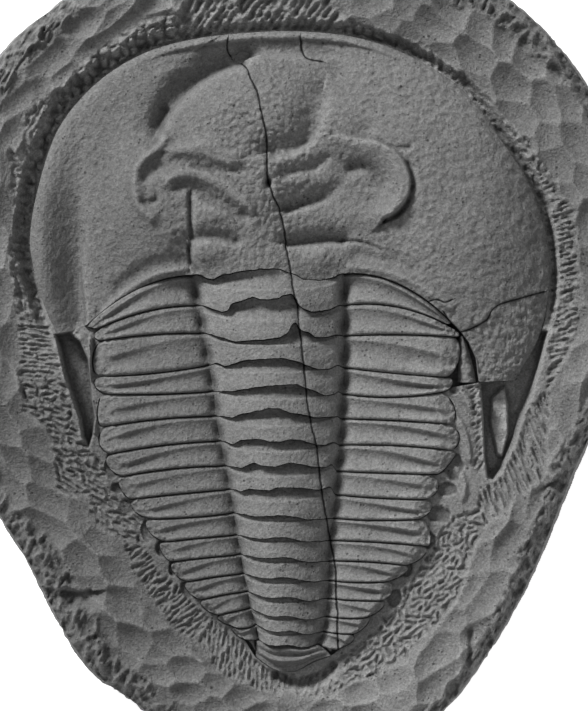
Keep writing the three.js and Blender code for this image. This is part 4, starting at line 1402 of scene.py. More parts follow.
TOOL_ZONES = (
    ToolZone(-96, 24, 1.6, 5, 13, 9, 6, 0, 7),
    ToolZone(-75, 24, 1.6, 6, 15, 10, 7, 30, 7),
    ToolZone(-56, 24, 1.4, 6, 17, 13, 6, 50, 9),
    ToolZone(-40, 24, 1.4, 6, 22, 15, 6, 60, 10),
    ToolZone(-28, 23.5, 1.4, 6, 24, 15, 6.5, 66, 11),
    ToolZone(-5, 22.5, 2.0, 2.2, 11, 11, 6, 80, 6),
    ToolZone(20, 22.5, 2.2, 2.2, 10, 10, 6.5, 100, 3),
    ToolZone(45, 22.5, 2.2, 3, 5, 12, 8, 130, 12),
    ToolZone(75, 22, 2.0, 3, 5, 12, 7.5, 160, 11),
    ToolZone(100, 24, 0.8, 3.4, 12, 10, 5.5, 185, 2),
    ToolZone(135, 21, 3.4, 4, 8, 13, 5.5, 225, 12),
    ToolZone(165, 21, 3.0, 3.4, 6, 12, 6, 255, 5),
    ToolZone(200, 22, 1.6, 4, 15, 12, 6.5, 290, 4),
    ToolZone(225, 24, 1.4, 5, 17, 12, 7, 310, 13),
    ToolZone(242, 24, 1.4, 6, 16, 11, 7, 330, 14),
    ToolZone(264, 24, 1.6, 5, 13, 9, 6, 360, 7),
)


@dataclass(frozen=True)
class ChiselPatch:
    """An area worked with one run of chisel strokes, its heading and chaos in degrees."""

    outline: Points
    heading: float
    chaos: float
    length: float
    pitch: float
    depth: float

    def inside(self, xy: Array) -> Array:
        """Return how far inside the patch each place lies, below zero outside it."""
        return Trace(self.outline, closed=True, straight=True).signed(xy)

    def places(self, dice: np.random.Generator) -> Array:
        """Return the middles of the strokes, in close rows along the heading.

        Args:
            dice: Source of random numbers.

        Returns:
            The places.
        """
        turn = math.radians(self.heading)
        way = np.array([[math.cos(turn), math.sin(turn)], [-math.sin(turn), math.cos(turn)]])
        turned = np.array(self.outline, dtype=float) @ way.T
        low, high = turned.min(axis=0), turned.max(axis=0)
        steps = np.array([0.8 * self.length, self.pitch])
        counts = np.ceil((high - low) / steps).astype(int) + 1
        row, column = (part.ravel() for part in np.meshgrid(*(np.arange(n) for n in counts[::-1])))
        loose = dice.uniform(-0.25, 0.25, (len(row), 2))
        loose[:, 0] += dice.uniform(0, 1, counts[1])[row]
        places = (low + steps * (np.column_stack([column, row]) + loose)) @ way
        return places[self.inside(places) > 0]


CHISEL_PATCHES = (
    ChiselPatch(((84.8, 81), (89.1, 70.9), (95.6, 64.8), (99.9, 58.7), (101, 45), (101, 16.2),
        (98.8, 10.8), (92.7, -2.5), (89.5, -6.1), (90.5, 12.6), (91.6, 27), (90.9, 45),
        (89.5, 57.6)), 17, 9, 5.0, 1.8, 1.4),
    ChiselPatch(((89.1, -6.1), (91.6, -6.5), (90.9, -13.7), (89.8, -24.5), (89.8, -34.2),
        (84.8, -40.3), (80.1, -43.2), (72.2, -50.4), (68.6, -54), (65, -49.3),
        (65.7, -41.4), (71.8, -39.6), (74.7, -36), (79, -25.2), (82.3, -15.5)),
        -66, 9, 7.0, 1.7, 1.4),
    ChiselPatch(((65, -49.3), (68.6, -54), (64.3, -60.5), (62.1, -71.3), (56, -83.5),
        (47.7, -92.9), (39.4, -101.5), (33.3, -106.2), (17.8, -112.3), (9.9, -106),
        (18.9, -99), (29, -91), (37.6, -80.3), (45.9, -66.6), (52, -55.8),
        (58.5, -49.3)), 35, 70, 3.4, 1.9, 1.3),
    ChiselPatch(((-65, -59.4), (-55.6, -61.9), (-50.6, -70.2), (-39.8, -79.9), (-30.4, -88.2),
        (-37.6, -96.5), (-45.9, -90.7), (-53.1, -79.9), (-59.2, -70.2)),
        38, 22, 4.0, 1.7, 1.3),
    ChiselPatch(((-37.6, -96.5), (-30.4, -88.2), (-20.7, -95.4), (-12.4, -101.5), (-3.8, -107.3),
        (0.9, -113.4), (-7.4, -115.2), (-16, -113.4), (-25.4, -108.7)),
        84, 14, 4.6, 1.7, 1.2),
    ChiselPatch(((-3.8, -107.3), (9.9, -108), (17.8, -112.3), (11.7, -117), (0.9, -117)),
        70, 40, 3.4, 1.8, 1.1),
    ChiselPatch(((-100.6, 18.4), (-90.5, 17.6), (-86.2, 7.6), (-84.1, -1.8), (-99.9, -3.2)),
        -6, 16, 4.0, 1.6, 1.1),
    ChiselPatch(((-99.9, -3.2), (-84.1, -1.8), (-81.9, -9), (-78.3, -20.5), (-76.1, -27),
        (-87.7, -26.3), (-89.8, -19.1), (-99.2, -12.6)), -22, 45, 3.2, 1.7, 1.3),
    ChiselPatch(((-87.7, -26.3), (-76.1, -27), (-69.7, -30.6), (-68.9, -40), (-62.5, -45),
        (-56.7, -52.2), (-52.4, -59.4), (-55.6, -61.9), (-65, -59.4), (-73.3, -53.6),
        (-75.4, -45), (-86.9, -41.4)), -32, 30, 3.8, 1.7, 1.3),
    ChiselPatch(((-102.8, 81), (-96.3, 77.4), (-97.7, 48.6), (-95.6, 27), (-90.5, 17.6),
        (-100.6, 18.4), (-102.4, 41.4)), -12, 50, 2.8, 1.8, 1.0),
    ChiselPatch(((-42.3, 120.6), (-44.1, 127.8), (-38.7, 136.1), (11.7, 136.1), (15.3, 127.8),
        (11.7, 123.8), (-6.3, 123.8), (-22.5, 123.1)), 56, 10, 7.0, 2.5, 1.6),
    ChiselPatch(((36.9, 121.3), (45.9, 119.9), (53.1, 112.7), (62.1, 106.2), (69.3, 99),
        (76.5, 90), (83.7, 84.6), (89.1, 70.9), (83.7, 74.5), (74.7, 84.6),
        (65.7, 96.1), (56.7, 105.5), (47.7, 112.7), (36.9, 117)), -40, 70, 2.8, 1.9, 1.1),
    ChiselPatch(((-85.5, 103.3), (-81.9, 99), (-90.9, 90), (-95.6, 77.4), (-99.2, 77.4),
        (-98.1, 93.6), (-90.9, 100.8)), 60, 70, 2.8, 1.9, 1.1),
    ChiselPatch(((62.1, -1.8), (66.4, -1.8), (67.5, -19.8), (66.8, -34.2), (64.3, -37.1),
        (62.8, -23.4)), 42, 16, 2.8, 1.6, 1.1),
)


@dataclass
class Ground:
    """Places on the slab, with what shapes the rock there.

    These are the distances out from the animal and in from the slab's edge, how much the place
    belongs to the head's end, how far the moat's wall wanders, and the tool zone's numbers.
    """

    xy: Array
    outside: Array
    from_edge: Array
    headness: Array
    wander: Array
    floor: Array
    start: Array
    run: Array
    outer: Array
    ragged: Array


class MatrixRock:
    """The slab: moat, tool marks, scooped rock and broken edge."""

    STATIONS = 1500
    MOAT_ROWS = 56
    RIM_ROWS = 52
    MOAT_SHARE = 0.46
    LEFT_PIT: Points = (
        (-87.5, 14.6), (-82.5, 15.4), (-78.5, 12), (-75.5, 5.5), (-74.5, -3.5), (-74, -9.5),
        (-73, -15.5), (-74, -22), (-75.5, -26), (-77.5, -22.5), (-78.5, -16), (-81, -9),
        (-84, 0), (-86, 9),
    )
    RIGHT_PIT: Points = (
        (66.1, -2.9), (74, -1), (80, 2), (84.5, 9), (88, 16.2), (90.5, 15.8), (87.3, 2.5),
        (84.4, -7.2), (81.5, -14.4), (77.9, -25.2), (74, -34.2), (70.7, -37.8), (68.6, -37.1),
        (67.5, -28.8), (67.1, -16.2),
    )
    STRIP: Points = ((63, 8), (63.5, -12), (63, -34), (60, -44))
    LEFT_BLADE = Fold(((-74.6, 13), (-74.8, 2), (-75, -6), (-73.6, -14.5), (-73, -20.5)),
                      4.2, 0.7, 0.9, 1.0, 0.5)
    RIGHT_RAMP: Points = (
        (70.4, -8.3), (75, -4), (76.4, -10.8), (76.6, -21.6), (74.4, -30), (72.4, -29),
        (70, -18),
    )
    TAIL_PIT = Fold(((-7.5, -109), (-0.5, -111.5), (7.5, -109.5), (13, -105.5)), -4.5, 2.2)
    MOULDS = (
        (56.7, -4.7, 2.5, 2.2), (56, -32.4, 4, 5), (53.5, -41.4, 3.6, 2.5), (51.3, -50.4, 4.3, 3.2),
        (46.6, -59.4, 3.6, 3.2), (38.7, -69.1, 3.6, 3.6), (35.1, -81, 3.2, 3.2),
        (-67.5, -33.1, 2.2, 5), (-65, -41, 2.5, 2.2), (-61.4, -47.5, 3.2, 2.5),
        (-55.3, -55.8, 1.4, 3.2), (-49.1, -63, 2.2, 3.2), (-45.2, -69.8, 1.4, 2.9),
        (-40.1, -77.8, 2.2, 2.9),
    )
    WEBS = (
        Fold(((55.8, -1), (59, -5), (62.5, -11)), 1.4, 0.8, 1.8),
        Fold(((58.9, -17), (61.2, -22.5), (62.3, -30)), 1.4, 0.8, 1.8),
        Fold(((58, -34), (60.5, -39), (60, -44)), 1.4, 0.8, 1.8),
    )
    LEDGES = (
        Fold(((-97, -76.7), (-87.3, -77.4), (-80.1, -78.8), (-74.7, -78.1)), -2.6, 0.7, 5.0),
        Fold(((-72.2, -95.4), (-71.5, -101), (-71.1, -106.9)), 1.8, 2.5, 0.7),
        Fold(((62.1, -92.5), (62.5, -97.5), (61.6, -102.6)), -2.0, 1.2, 1.0),
        Fold(((92.7, -37.8), (98, -34.5), (105, -32)), -2.4, 0.7, 5.0),
        Fold(((-88, -99), (-80, -104.5), (-72, -110)), -1.8, 4.0, 0.7),
    )
    VOID_FLOOR = 19.0
    REAR_LIMIT = -151.0
    SCOOP_TRIES = 2600
    SCOOP_SLOPE = 0.82
    RIM_INSET = 8.0
    EDGE_INSET = 2.2
    SHELF_HEIGHT = 11.0
    SHELF_STEP = 0.4
    # Painted shade on the faces hidden under the moat and the plates.
    HIDDEN_PAINTED_SHADE = 0.6
    PLATE_GAP = 0.32
    SCOOP_LIFT = 3.3
    MOULD_DEPTH = 1.5
    TAIL_SIDE_HEIGHT = 25.0
    HEAD_SIDE_HEIGHT = 28.0
    HEAD_SHOULDER = 28.4
    STRIP_HEIGHT = 27.6
    RAMP_HEIGHT = 23.0

    def __init__(self, plan: BodyPlan) -> None:
        """Keep the plan and cut the tool marks."""
        self.plan = plan
        self.carved = CarveSheet()
        self.hatched = CarveSheet()
        self.edge = self.ray = np.empty((0, 2))
        self._cut_scoops()
        self._cut_hatch()

    @staticmethod
    def _between(angles: Array, values: Array) -> Array:
        """Return at directions from the hub what is known for each tool zone."""
        known = np.array([zone.angle for zone in TOOL_ZONES])
        wrapped = np.mod(np.degrees(angles) - known[0], 360) + known[0]
        return np.interp(wrapped, known, values)

    def _zone(self, angles: Array, name: str) -> Array:
        """Return a property of the tool zones at directions from the hub."""
        return self._between(angles, np.array([getattr(zone, name) for zone in TOOL_ZONES]))

    def _headings(self, angles: Array) -> Array:
        """Return the scoops' headings, in radians, turned the short way between zones."""
        doubled = 2 * np.radians([zone.scoop_heading for zone in TOOL_ZONES])
        x, y = (self._between(angles, way(doubled)) for way in (np.cos, np.sin))
        return 0.5 * np.arctan2(y, x)

    def _cut_scoops(self) -> None:
        """Cut the broad gouge scoops over the rim, side by side and about equally deep."""
        dice = np.random.default_rng(4104)
        placed = np.empty((0, 2))
        for _ in range(self.SCOOP_TRIES):
            angle = dice.uniform(0, 2 * np.pi, 1)
            inner, outer = self.plan.fossil.reach(angle)[0], self.plan.slab.reach(angle)[0]
            zone = {name: float(self._zone(angle, name)[0]) for name in
                    ("outer", "scoop_length", "scoop_width")}
            reach = mix(inner + zone["outer"] - 2, outer + 4, dice.uniform())
            place = HUB + reach * np.array([math.cos(angle[0]), math.sin(angle[0])])
            heading = self._headings(angle)[0] + dice.normal(0, 0.3)
            length, width = zone["scoop_length"], zone["scoop_width"]
            away = placed - place
            along = (away[:, 0] * math.cos(heading) + away[:, 1] * math.sin(heading)) / length
            across = (away[:, 1] * math.cos(heading) - away[:, 0] * math.sin(heading)) / width
            spread = dice.uniform(0.8, 1.15)
            if np.any(np.hypot(along, across) < spread):
                continue
            placed = np.vstack([placed, place])
            size = dice.uniform(1.1, 1.9)
            fall = self.SCOOP_SLOPE * min(length, width) * size
            depth = dice.uniform(2.9, 4.8)
            self.carved.stamp(place, heading, size * length, size * width, depth, fall)

    def _cut_hatch(self) -> None:
        """Cut the narrow chisel strokes beside the animal."""
        dice = np.random.default_rng(877)
        for patch in CHISEL_PATCHES:
            for place in patch.places(dice):
                turn = math.radians(patch.heading + patch.chaos * dice.normal(0, 0.6))
                half = 0.5 * patch.length * dice.uniform(0.9, 1.7)
                depth = 1.25 * patch.depth * dice.uniform(0.6, 1.3)
                self.hatched.stamp(place, turn, half, 0.6 * patch.pitch, depth, depth, 1.3, 4)

    def height(self, xy: Array) -> tuple[Array, Array, Array]:
        """Return the height of the rock, its tone with painted light, and how much rubble lies on
        it.

        Args:
            xy: Places, one row each.

        Returns:
            Three arrays.
        """
        ground = self._survey(xy)
        outside, outer, headness = ground.outside, ground.outer, ground.headness
        sunk = self._sunk(xy)
        z = self._bowl(ground) - self.MOULD_DEPTH * sunk
        struck = self._struck(xy) * (1 - sunk) * smooth(0.6, 1.6, outside)
        scooped = smooth(outer - 3.5, outer + 1, outside + ground.wander) * (1 - struck)
        edges = ground.from_edge + 2.8 * Noise.layered(xy, 8, 83, 3)
        broken = 1 - smooth(0.8 * ground.ragged, 1.1 * ground.ragged, edges)
        broken *= 1 - struck
        scooped *= 1 - broken
        z += (self.SCOOP_LIFT - self.carved.sample(xy)) * scooped * smooth(1.5, 5, outside)
        z -= self.hatched.sample(xy) * struck
        z += broken * self._torn(xy)
        z += 0.35 * struck * Noise.layered(xy, 2.2, 59, 3)
        z += 0.12 * Noise.layered(xy, 2.2, 67, 3)
        wall = headness * smooth(0.9, 2.2, outside) * (1 - smooth(outer - 2, outer + 1, outside))
        near, second = Noise.cells(xy, 3.4, 73)
        z += wall * (1 - 0.6 * struck) * (3.2 * Noise.layered(xy, 4.0, 73, 4)
                                          + 1.7 * smooth(0, 0.5, second - near) - 0.8)
        pit, z = self._pitted(xy, z)
        rubble = np.clip(struck * 0.5 + broken * 0.5 + wall + 0.08, 0, 1) * (1 - pit)
        deep = headness * (1 - smooth(ground.start, ground.start + ground.run, outside))
        # Tone: lighter where struck, darker on the broken rock and in the moulds, and lighter
        # towards the bottom end. Painted light lightens the deep pits and the moat floor by the
        # head, which lie in shade.
        rock_tone_and_painted_light = 1 + 0.12 * struck - 0.28 * broken + 0.3 * pit + 0.42 * deep * (1 - pit)
        rock_tone_and_painted_light *= (1 - 0.22 * sunk) * (1 + 0.1 * (1 - smooth(-115, -85, xy[:, 1])))
        return z, rock_tone_and_painted_light, rubble * smooth(0.8, 2, outside)

    def _survey(self, xy: Array) -> Ground:
        """Return what shapes the rock at places on the slab."""
        outside = -self.plan.fossil.signed(xy)
        angles = np.arctan2(xy[:, 1] - HUB[1], xy[:, 0] - HUB[0])
        zones = {name: self._zone(angles, name) for name in
                 ("floor", "start", "run", "outer", "ragged")}
        return Ground(xy, outside, self.plan.slab.signed(xy), smooth(8, 30, xy[:, 1]),
                      1.3 * Noise.layered(xy, 9, 61, 3) * smooth(1, 6, outside), **zones)

    def _bowl(self, ground: Ground) -> Array:
        """Return the height of the moat and the rock round it before any tool marks."""
        xy, headness = ground.xy, ground.headness
        beside = mix(self.TAIL_SIDE_HEIGHT, self.HEAD_SIDE_HEIGHT, smooth(-100, 0, xy[:, 1]))
        floor = mix(beside, ground.floor, headness)
        shoulder = mix(beside + 0.6, self.HEAD_SHOULDER, headness)
        breadth = np.maximum(ground.outside + ground.from_edge - self.RIM_INSET - ground.run, 1)
        share = np.clip((ground.outside - ground.run) / breadth, 0, 1) ** 0.9
        z = mix(floor, mix(shoulder, RIM_HEIGHT, share),
                smooth(ground.start, ground.start + ground.run, ground.outside + ground.wander))
        z = mix(EDGE_HEIGHT, z, smooth(0, self.RIM_INSET, ground.from_edge))
        strip = bell(Trace(self.STRIP, step=1.0).distance(xy), 3.0)
        z = np.maximum(z, mix(floor - 4, self.STRIP_HEIGHT, strip))
        for fold in (self.LEFT_BLADE, self.TAIL_PIT, *self.LEDGES, *self.WEBS):
            z += fold.raised(xy)
        return z

    def _pitted(self, xy: Array, z: Array) -> tuple[Array, Array]:
        """Return 1 in the deep pits beside the head's corners, and the heights with them."""
        left, right, ramp = (
            smooth(low, high, Trace(points, closed=True, straight=True).signed(xy))
            for points, low, high in ((self.LEFT_PIT, -0.5, 1.1), (self.RIGHT_PIT, -0.5, 1.1),
                                      (self.RIGHT_RAMP, -0.6, 0.8)))
        pit = np.maximum(left, right)
        hollow = mix(self.VOID_FLOOR, self.RAMP_HEIGHT + 0.35 * (xy[:, 0] - 74), ramp)
        hollow += 0.8 * Noise.layered(xy, 4, 71, 3)
        return pit, mix(z, np.minimum(z, hollow), pit)

    def _sunk(self, xy: Array) -> Array:
        """Return 1 in the flat moulds that broken rib tips have left, 0 outside them."""
        sunk = np.zeros(len(xy))
        loose = 0.3 * Noise.layered(xy, 3, 91, 2)
        for x, y, wide, long in self.MOULDS:
            reach = np.hypot((xy[:, 0] - x) / wide, (xy[:, 1] - y) / long) + loose
            sunk = np.maximum(sunk, 1 - smooth(0.85, 1.1, reach))
        return sunk

    @staticmethod
    def _struck(xy: Array) -> Array:
        """Return 1 where the rock is worked with chisel strokes, 0 elsewhere."""
        loose = 1.6 * Noise.layered(xy, 4, 93, 2)
        return np.max([smooth(-1.0, 1.0, patch.inside(xy) + loose) for patch in CHISEL_PATCHES],
                      axis=0)

    @staticmethod
    def _torn(xy: Array) -> Array:
        """Return the relief of the broken rock by the slab's edge, torn along slanting lines."""
        near, second = Noise.cells(xy, 6.5, 41)
        z = 0.7 + 1.1 * Noise.layered(xy, 6, 53, 4) - 1.3 * smooth(0.0, 0.4, second - near)
        slanted = xy @ np.array([[0.16, -0.87], [0.28, 0.5]])
        z += 3.0 * np.abs(Noise.layered(slanted, 2.2, 87, 3))
        return z + 0.5 * Noise.layered(xy, 1.6, 89, 2)

    def plan_rings(self) -> Array:
        """Return the places of the top surface from above, outermost ring first."""
        inner = self._offset(self.plan.fossil, self.PLATE_GAP)
        smoothed = inner.copy()
        for _ in range(160):
            ahead, behind = (np.roll(smoothed, shift, axis=0) for shift in (4, -4))
            smoothed = (ahead + behind + smoothed) / 3
        angles = np.unwrap(np.arctan2(*(smoothed - HUB).T[::-1]))
        if angles[-1] < angles[0]:
            inner, angles = inner[::-1], np.unwrap(angles[::-1])
        angles = np.maximum.accumulate(angles) + np.linspace(0, 1e-4, self.STATIONS)
        reach = self.plan.slab.reach(angles)
        ray = np.column_stack([np.cos(angles), np.sin(angles)])
        self.edge = HUB + reach[:, None] * ray
        self.ray = ray
        outer = HUB + (reach[:, None] - self.EDGE_INSET) * ray
        near = np.linspace(0, self.MOAT_SHARE, self.MOAT_ROWS)
        share = np.concatenate([near, np.linspace(self.MOAT_SHARE, 1, self.RIM_ROWS)[1:]])
        rows = mix(inner[None], outer[None], share[:, None, None])
        for step in range(60):
            weight = np.clip(np.linspace(0, 10, len(share)), 0, 1)[:, None, None] * 0.5
            weight[-1] = 0
            around = (np.roll(rows, 1, axis=1) + np.roll(rows, -1, axis=1)) / 2
            rows = mix(rows, around, weight)
            rows[1:-1] = mix(rows[1:-1], (rows[:-2] + rows[2:]) / 2, 0.15 if step < 20 else 0.0)
        return rows[::-1]

    def _offset(self, loop: Trace, gap: float) -> Array:
        """Return the loop moved outward by a gap and spaced evenly."""
        points = loop.points
        for _ in range(2):
            points = (np.roll(points, 1, axis=0) + 2 * points + np.roll(points, -1, axis=0)) / 4
        ahead = np.roll(points, -1, axis=0) - np.roll(points, 1, axis=0)
        normal = np.column_stack([ahead[:, 1], -ahead[:, 0]])
        normal /= np.maximum(np.hypot(*normal.T), 1e-9)[:, None]
        after = np.roll(points, -1, axis=0)
        area = np.sum(points[:, 0] * after[:, 1] - points[:, 1] * after[:, 0])
        moved = points + gap * normal * np.sign(area)
        spaced = Trace(moved, closed=True, straight=True)
        return spaced.at(np.arange(self.STATIONS) / self.STATIONS)

    def sides(self, top: Array) -> Array:
        """Return the rings of the broken sides, lowest first.

        Args:
            top: The outermost ring of the top surface.

        Returns:
            Rings of places with heights.
        """
        levels = ((0.0, 5.0), (2.0, 4.2), (4.0, 2.7), (6.5, 1.5), (9.0, 0.7), (12, 0.2),
                  (15, 0.0), (17.5, 0.2), (20.0, 0.7), (22.2, 1.3))
        rings = []
        for height, inset in levels:
            shift = np.column_stack([self.edge[:, 0] + 2 * height, self.edge[:, 1] - height])
            rough = np.abs(Noise.layered(shift, 9, 97, 4)) * mix(2.4, 1.3, bell(height - 15, 3.0))
            rough *= smooth(0, 3, height)
            place = self.edge - (inset + rough)[:, None] * self.ray
            place[:, 1] = np.maximum(place[:, 1], self.REAR_LIMIT)
            z = height + smooth(0, 4, height) * 0.7 * Noise.layered(self.edge, 5, 13, 2)
            rings.append(np.column_stack([place, z]))
        rings[-1][:, 2] = np.minimum(rings[-1][:, 2], top[:, 2] - 0.8)
        return np.array(rings)

    def build(self) -> list[Piece]:
        """Return the slab as two pieces: its sides and rim, and the moat round the animal."""
        flat = self.plan_rings()
        z, rock_tone_and_painted_light, rubble = self.height(flat.reshape(-1, 2))
        heights = z.reshape(flat.shape[:2])
        top = np.dstack([flat, heights])
        # Rock tone with its painted light, and ridges painted lighter and hollows darker.
        tone = rock_tone_and_painted_light.reshape(heights.shape) * Skin.painted_relief_light(heights, 4, 0.4, around=True)
        rubble = rubble.reshape(heights.shape)
        parted = self.RIM_ROWS - 1
        seam, inner = top[parted:parted + 1], top[-1:]
        foot, shelf = self._at(seam, self.SHELF_HEIGHT), self._at(inner, self.SHELF_HEIGHT)
        bed = self._at(inner, BED_HEIGHT - FIT_GAP)
        sides = self.sides(top[0])
        rim = np.concatenate([sides, top[:parted + 1], foot, shelf, bed])
        blank = np.zeros((len(sides), self.STATIONS))
        under = np.zeros((3, self.STATIONS))
        tones = np.vstack([blank + 1, tone[:parted + 1], under + self.HIDDEN_PAINTED_SHADE])
        crumbs = np.vstack([blank, rubble[:parted + 1], under])
        low, last = (self._at(ring, self.SHELF_HEIGHT - self.SHELF_STEP) for ring in (seam, inner))
        moat = np.concatenate([low, top[parted:], last])
        edge = under[:1]
        dark = edge + self.HIDDEN_PAINTED_SHADE
        return [
            self._piece("rock_matrix", Shape.from_rings(rim), tones, crumbs),
            self._piece("rock_moat", Shape.from_tube(moat), np.vstack([dark, tone[parted:], dark]),
                        np.vstack([edge, rubble[parted:], edge])),
        ]

    @staticmethod
    def _at(ring: Array, height: float) -> Array:
        """Return a copy of a ring, laid at one height."""
        return np.dstack([ring[:, :, :2], np.full(ring.shape[:2], height)])

    @staticmethod
    def _piece(name: str, shape: Shape, tone: Array, rubble: Array) -> Piece:
        """Return one part of the slab, dressed.

        Args:
            name: Name of the piece.
            shape: Its body.
            tone: Tone of each corner, painted light and shade included.
            rubble: How much rubble lies at each corner.

        Returns:
            The piece.
        """
        numbers = Skin.numbers(shape, None, 1.6)
        numbers["tone_and_painted_light"] = numbers["tone_and_painted_light"] * tone.ravel()
        numbers["rubble"] = rubble.ravel()
        return Piece(name, ("matrix",), MATRIX_FINISH, shape, numbers)


@dataclass(frozen=True)
class RockFilling:
    """A low ridge of rock between plates of the animal, inside its outline.

    The path runs from back to front; each of its places is x, y and half the ridge's width.
    """

    name: str
    path: tuple[tuple[float, float, float], ...]
    height: float

    ROWS: ClassVar[int] = 44
    COLUMNS: ClassVar[int] = 20
    DROP: ClassVar[float] = 3.2

    def build(self) -> Piece:
        """Return the ridge as a piece."""
        step = np.linspace(0, len(self.path) - 1, self.ROWS)
        x, y, half = (np.interp(step, range(len(self.path)), column) for column in zip(*self.path))
        across = np.linspace(-1, 1, self.COLUMNS)
        grid = np.dstack([x[:, None] + half[:, None] * across, y[:, None] + 0 * across])
        flat = grid.reshape(-1, 2)
        z = self.height - self.DROP * np.abs(np.tile(across, self.ROWS)) ** 2.4
        z += 0.9 * Noise.layered(flat, 2.4, 101, 3) + 0.3 * Noise.layered(flat, 1.0, 103, 2)
        shape = Shape.from_sheet(np.dstack([grid, z.reshape(grid.shape[:2])]), BED_HEIGHT - FIT_GAP)
        numbers = Skin.numbers(shape, None, 0.8)
        numbers["rubble"] = 0 * numbers["tone_and_painted_light"]
        return Piece(self.name, ("matrix",), MATRIX_FINISH, shape, numbers)


FILLINGS = (
    RockFilling("rock_strip_head", ((61.3, -2.7, 3.2), (61.2, 0, 3.0), (60.6, 5.4, 2.4),
                                    (59.9, 10.8, 1.6), (59.3, 14, 0.8)), 28.2),
    RockFilling("rock_tail_left", ((-15.3, -99.4, 0.3), (-15.9, -97.8, 0.7),
                                   (-16.6, -96.1, 1.3)), 26.4),
    RockFilling("rock_tail_right", ((12, -99.9, 0.4), (11.6, -98.9, 1.2),
                                    (9.9, -97.8, 0.8)), 26.4),
)


class Rubble:
    """Crumbs and small chips of rock left lying in the tool marks, scattered by geometry nodes."""

    LEAST_STRETCH = (0.4, 0.4, 0.3)
    MOST_STRETCH = (1.5, 1.1, 0.8)
    PER_SQUARE_METRE = 90000.0
    RADIUS = 0.42
    SEED = 12
    TONE = 1.05

    def __init__(self, rock: bpy.types.Object) -> None:
        """Keep the slab that the crumbs lie on."""
        self.rock = rock

    def _tree(self) -> bpy.types.GeometryNodeTree:
        """Return the node tree that scatters crumbs by the mesh's rubble number."""
        tree = bpy.data.node_groups.new("scatter_rubble", "GeometryNodeTree")
        for name, way, kind in (("Geometry", "INPUT", "Geometry"), ("Density", "INPUT", "Float"),
                                ("Size", "INPUT", "Float"), ("Seed", "INPUT", "Int"),
                                ("Material", "INPUT", "Material"),
                                ("Geometry", "OUTPUT", "Geometry")):
            tree.interface.new_socket(name, in_out=way, socket_type=f"NodeSocket{kind}")
        bench = NodeBench(tree)
        given = bench.add("NodeGroupInput").outputs
        amount = bench.add("GeometryNodeInputNamedAttribute", {"Name": "rubble"},
                           data_type="FLOAT")
        density = bench.add("ShaderNodeMath", {0: amount.outputs["Attribute"],
                                               1: given["Density"]}, operation="MULTIPLY")
        scatter = bench.add("GeometryNodeDistributePointsOnFaces", {
            "Mesh": given["Geometry"], "Density": density.outputs["Value"],
            "Seed": given["Seed"]})
        crumb = bench.add("GeometryNodeMeshIcoSphere", {
            "Radius": given["Size"], "Subdivisions": 1})
        turn, stretch = (
            bench.add("FunctionNodeRandomValue", {0: low, 1: high, "Seed": given["Seed"]},
                      data_type="FLOAT_VECTOR")
            for low, high in (((0, 0, 0), (math.tau, math.tau, math.tau)),
                              (self.LEAST_STRETCH, self.MOST_STRETCH)))
        placed = bench.add("GeometryNodeInstanceOnPoints", {
            "Points": scatter.outputs["Points"], "Instance": crumb.outputs["Mesh"],
            "Rotation": turn.outputs[0], "Scale": stretch.outputs[0]})
        solid = bench.add("GeometryNodeRealizeInstances", {
            "Geometry": placed.outputs["Instances"]})
        dressed = bench.add("GeometryNodeSetMaterial", {
            "Geometry": solid.outputs["Geometry"], "Material": given["Material"]})
        bench.add("NodeGroupOutput", {"Geometry": dressed.outputs["Geometry"]})
        return tree

    def build(self, name: str) -> bpy.types.Object:
        """Scatter the crumbs and return them as one plain object.

        Args:
            name: Name of the new object.

        Returns:
            The crumbs.
        """
        holder = put("rubble_holder", self.rock.data.copy())
        tree = self._tree()
        modifier = holder.modifiers.new("rubble", "NODES")
        modifier.node_group = tree
        wanted = {"Density": self.PER_SQUARE_METRE, "Size": self.RADIUS * MM, "Seed": self.SEED,
                  "Material": FinishShelf.get(MATRIX_FINISH)}
        for item in tree.interface.items_tree:
            if item.in_out == "INPUT" and item.name in wanted:
                modifier[item.identifier] = wanted[item.name]
        depsgraph = bpy.context.evaluated_depsgraph_get()
        mesh = bpy.data.meshes.new_from_object(holder.evaluated_get(depsgraph))
        bpy.data.objects.remove(holder)
        mesh.name = name
        for key, value in (("tone_and_painted_light", self.TONE), ("crack", FAR), ("cracked", 0.0)):
            layer = mesh.attributes.get(key) or mesh.attributes.new(key, "FLOAT", "POINT")
            layer.data.foreach_set("value", np.full(len(mesh.vertices), value, dtype=np.float32))
        crumbs = put(name, mesh)
        Piece.hang(crumbs, (), MATRIX_FINISH)
        return crumbs


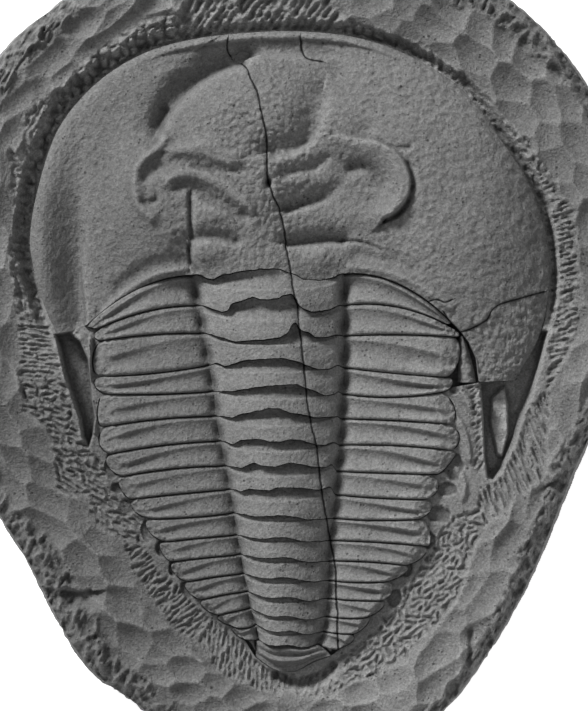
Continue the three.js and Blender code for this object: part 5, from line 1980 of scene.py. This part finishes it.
@dataclass(frozen=True)
class Studio:
    """Copy stand: pale floor, one soft light from the upper left and a weak fill.

    The camera looks down on centre from distance above the height of the subject, and sees
    frame_height of it. The light's reach and size and the floor's half width are metres.
    """

    centre: tuple[float, float] = (-1.26, 7.02)
    frame_height: float = 256.0
    distance: float = 1200.0
    subject: float = 31.0
    light_way: float = 130.0
    light_rise: float = 31.0
    light_reach: float = 1.3
    light_size: float = 0.28
    light_power: float = 18.5
    fill: float = 0.33
    floor_half: float = 3.0
    floor_glow: float = 0.85
    floor_drop: float = 0.5

    def build(self) -> None:
        """Add the camera, the lights, the world and the floor."""
        self._camera()
        self._key()
        self._world()
        self._floor()

    def _camera(self) -> None:
        """Add the camera, straight above the slab."""
        data = bpy.data.cameras.new("copy_camera")
        data.sensor_fit = "VERTICAL"
        data.sensor_height = 36.0
        data.lens = data.sensor_height * self.distance / self.frame_height
        data.clip_start, data.clip_end = 0.1, 10.0
        camera = put("copy_camera", data)
        height = self.distance + self.subject
        camera.location = Vector((self.centre[0], self.centre[1], height)) * MM
        bpy.context.scene.camera = camera

    def _key(self) -> None:
        """Add the main light."""
        data = bpy.data.lights.new("key", "AREA")
        data.shape = "SQUARE"
        data.size = self.light_size
        data.energy = self.light_power
        way, rise = math.radians(self.light_way), math.radians(self.light_rise)
        aim = Vector((math.cos(way) * math.cos(rise), math.sin(way) * math.cos(rise),
                      math.sin(rise)))
        light = put("key", data)
        light.location = aim * self.light_reach
        light.rotation_euler = aim.to_track_quat("Z", "Y").to_euler()

    def _world(self) -> None:
        """Fill the shadows with an even grey sky."""
        world = bpy.data.worlds.new("studio")
        world.use_nodes = True
        back = world.node_tree.nodes["Background"]
        back.inputs["Color"].default_value = (1, 1, 1, 1)
        back.inputs["Strength"].default_value = self.fill
        bpy.context.scene.world = world

    def _floor(self) -> None:
        """Add the pale floor that the slab lies on."""
        half = self.floor_half
        mesh = bpy.data.meshes.new("floor")
        mesh.from_pydata([(-half, -half, 0), (half, -half, 0), (half, half, 0), (-half, half, 0)],
                         [], [(0, 1, 2, 3)])
        bench = MaterialBench("pale_floor")
        noise = bench.add("ShaderNodeTexNoise", {"Scale": 4.0, "Vector": bench.place})
        pale = bench.ranged(noise.outputs["Fac"], 0.93, 0.96, 0.0, 1.0)
        colour = bench.add("ShaderNodeCombineColor", {
            channel: pale for channel in ("Red", "Green", "Blue")}).outputs["Color"]
        mesh.materials.append(bench.finish({
            "Base Color": colour, "Roughness": 0.9, "Emission Color": colour,
            "Emission Strength": self.floor_glow}))
        floor = put("floor", mesh)
        floor.location.z = -self.floor_drop * MM


def main() -> None:
    """Build the slab, the animal and the studio."""
    plan = BodyPlan()
    rim, moat = (piece.place() for piece in MatrixRock(plan).build())
    HeadShield(plan).build().place()
    for number in range(1, SEGMENTS + 1):
        Segment(plan, number).build().place()
    TailShield(plan).build().place()
    for filling in FILLINGS:
        filling.build().place()
    Rubble(rim).build("rubble_rim")
    Rubble(moat).build("rubble_moat")
    Studio().build()
    bpy.context.scene.view_settings.view_transform = "Standard"


if __name__ == "__main__":
    logging.basicConfig(level=logging.INFO, format="%(name)s %(message)s")
    main()
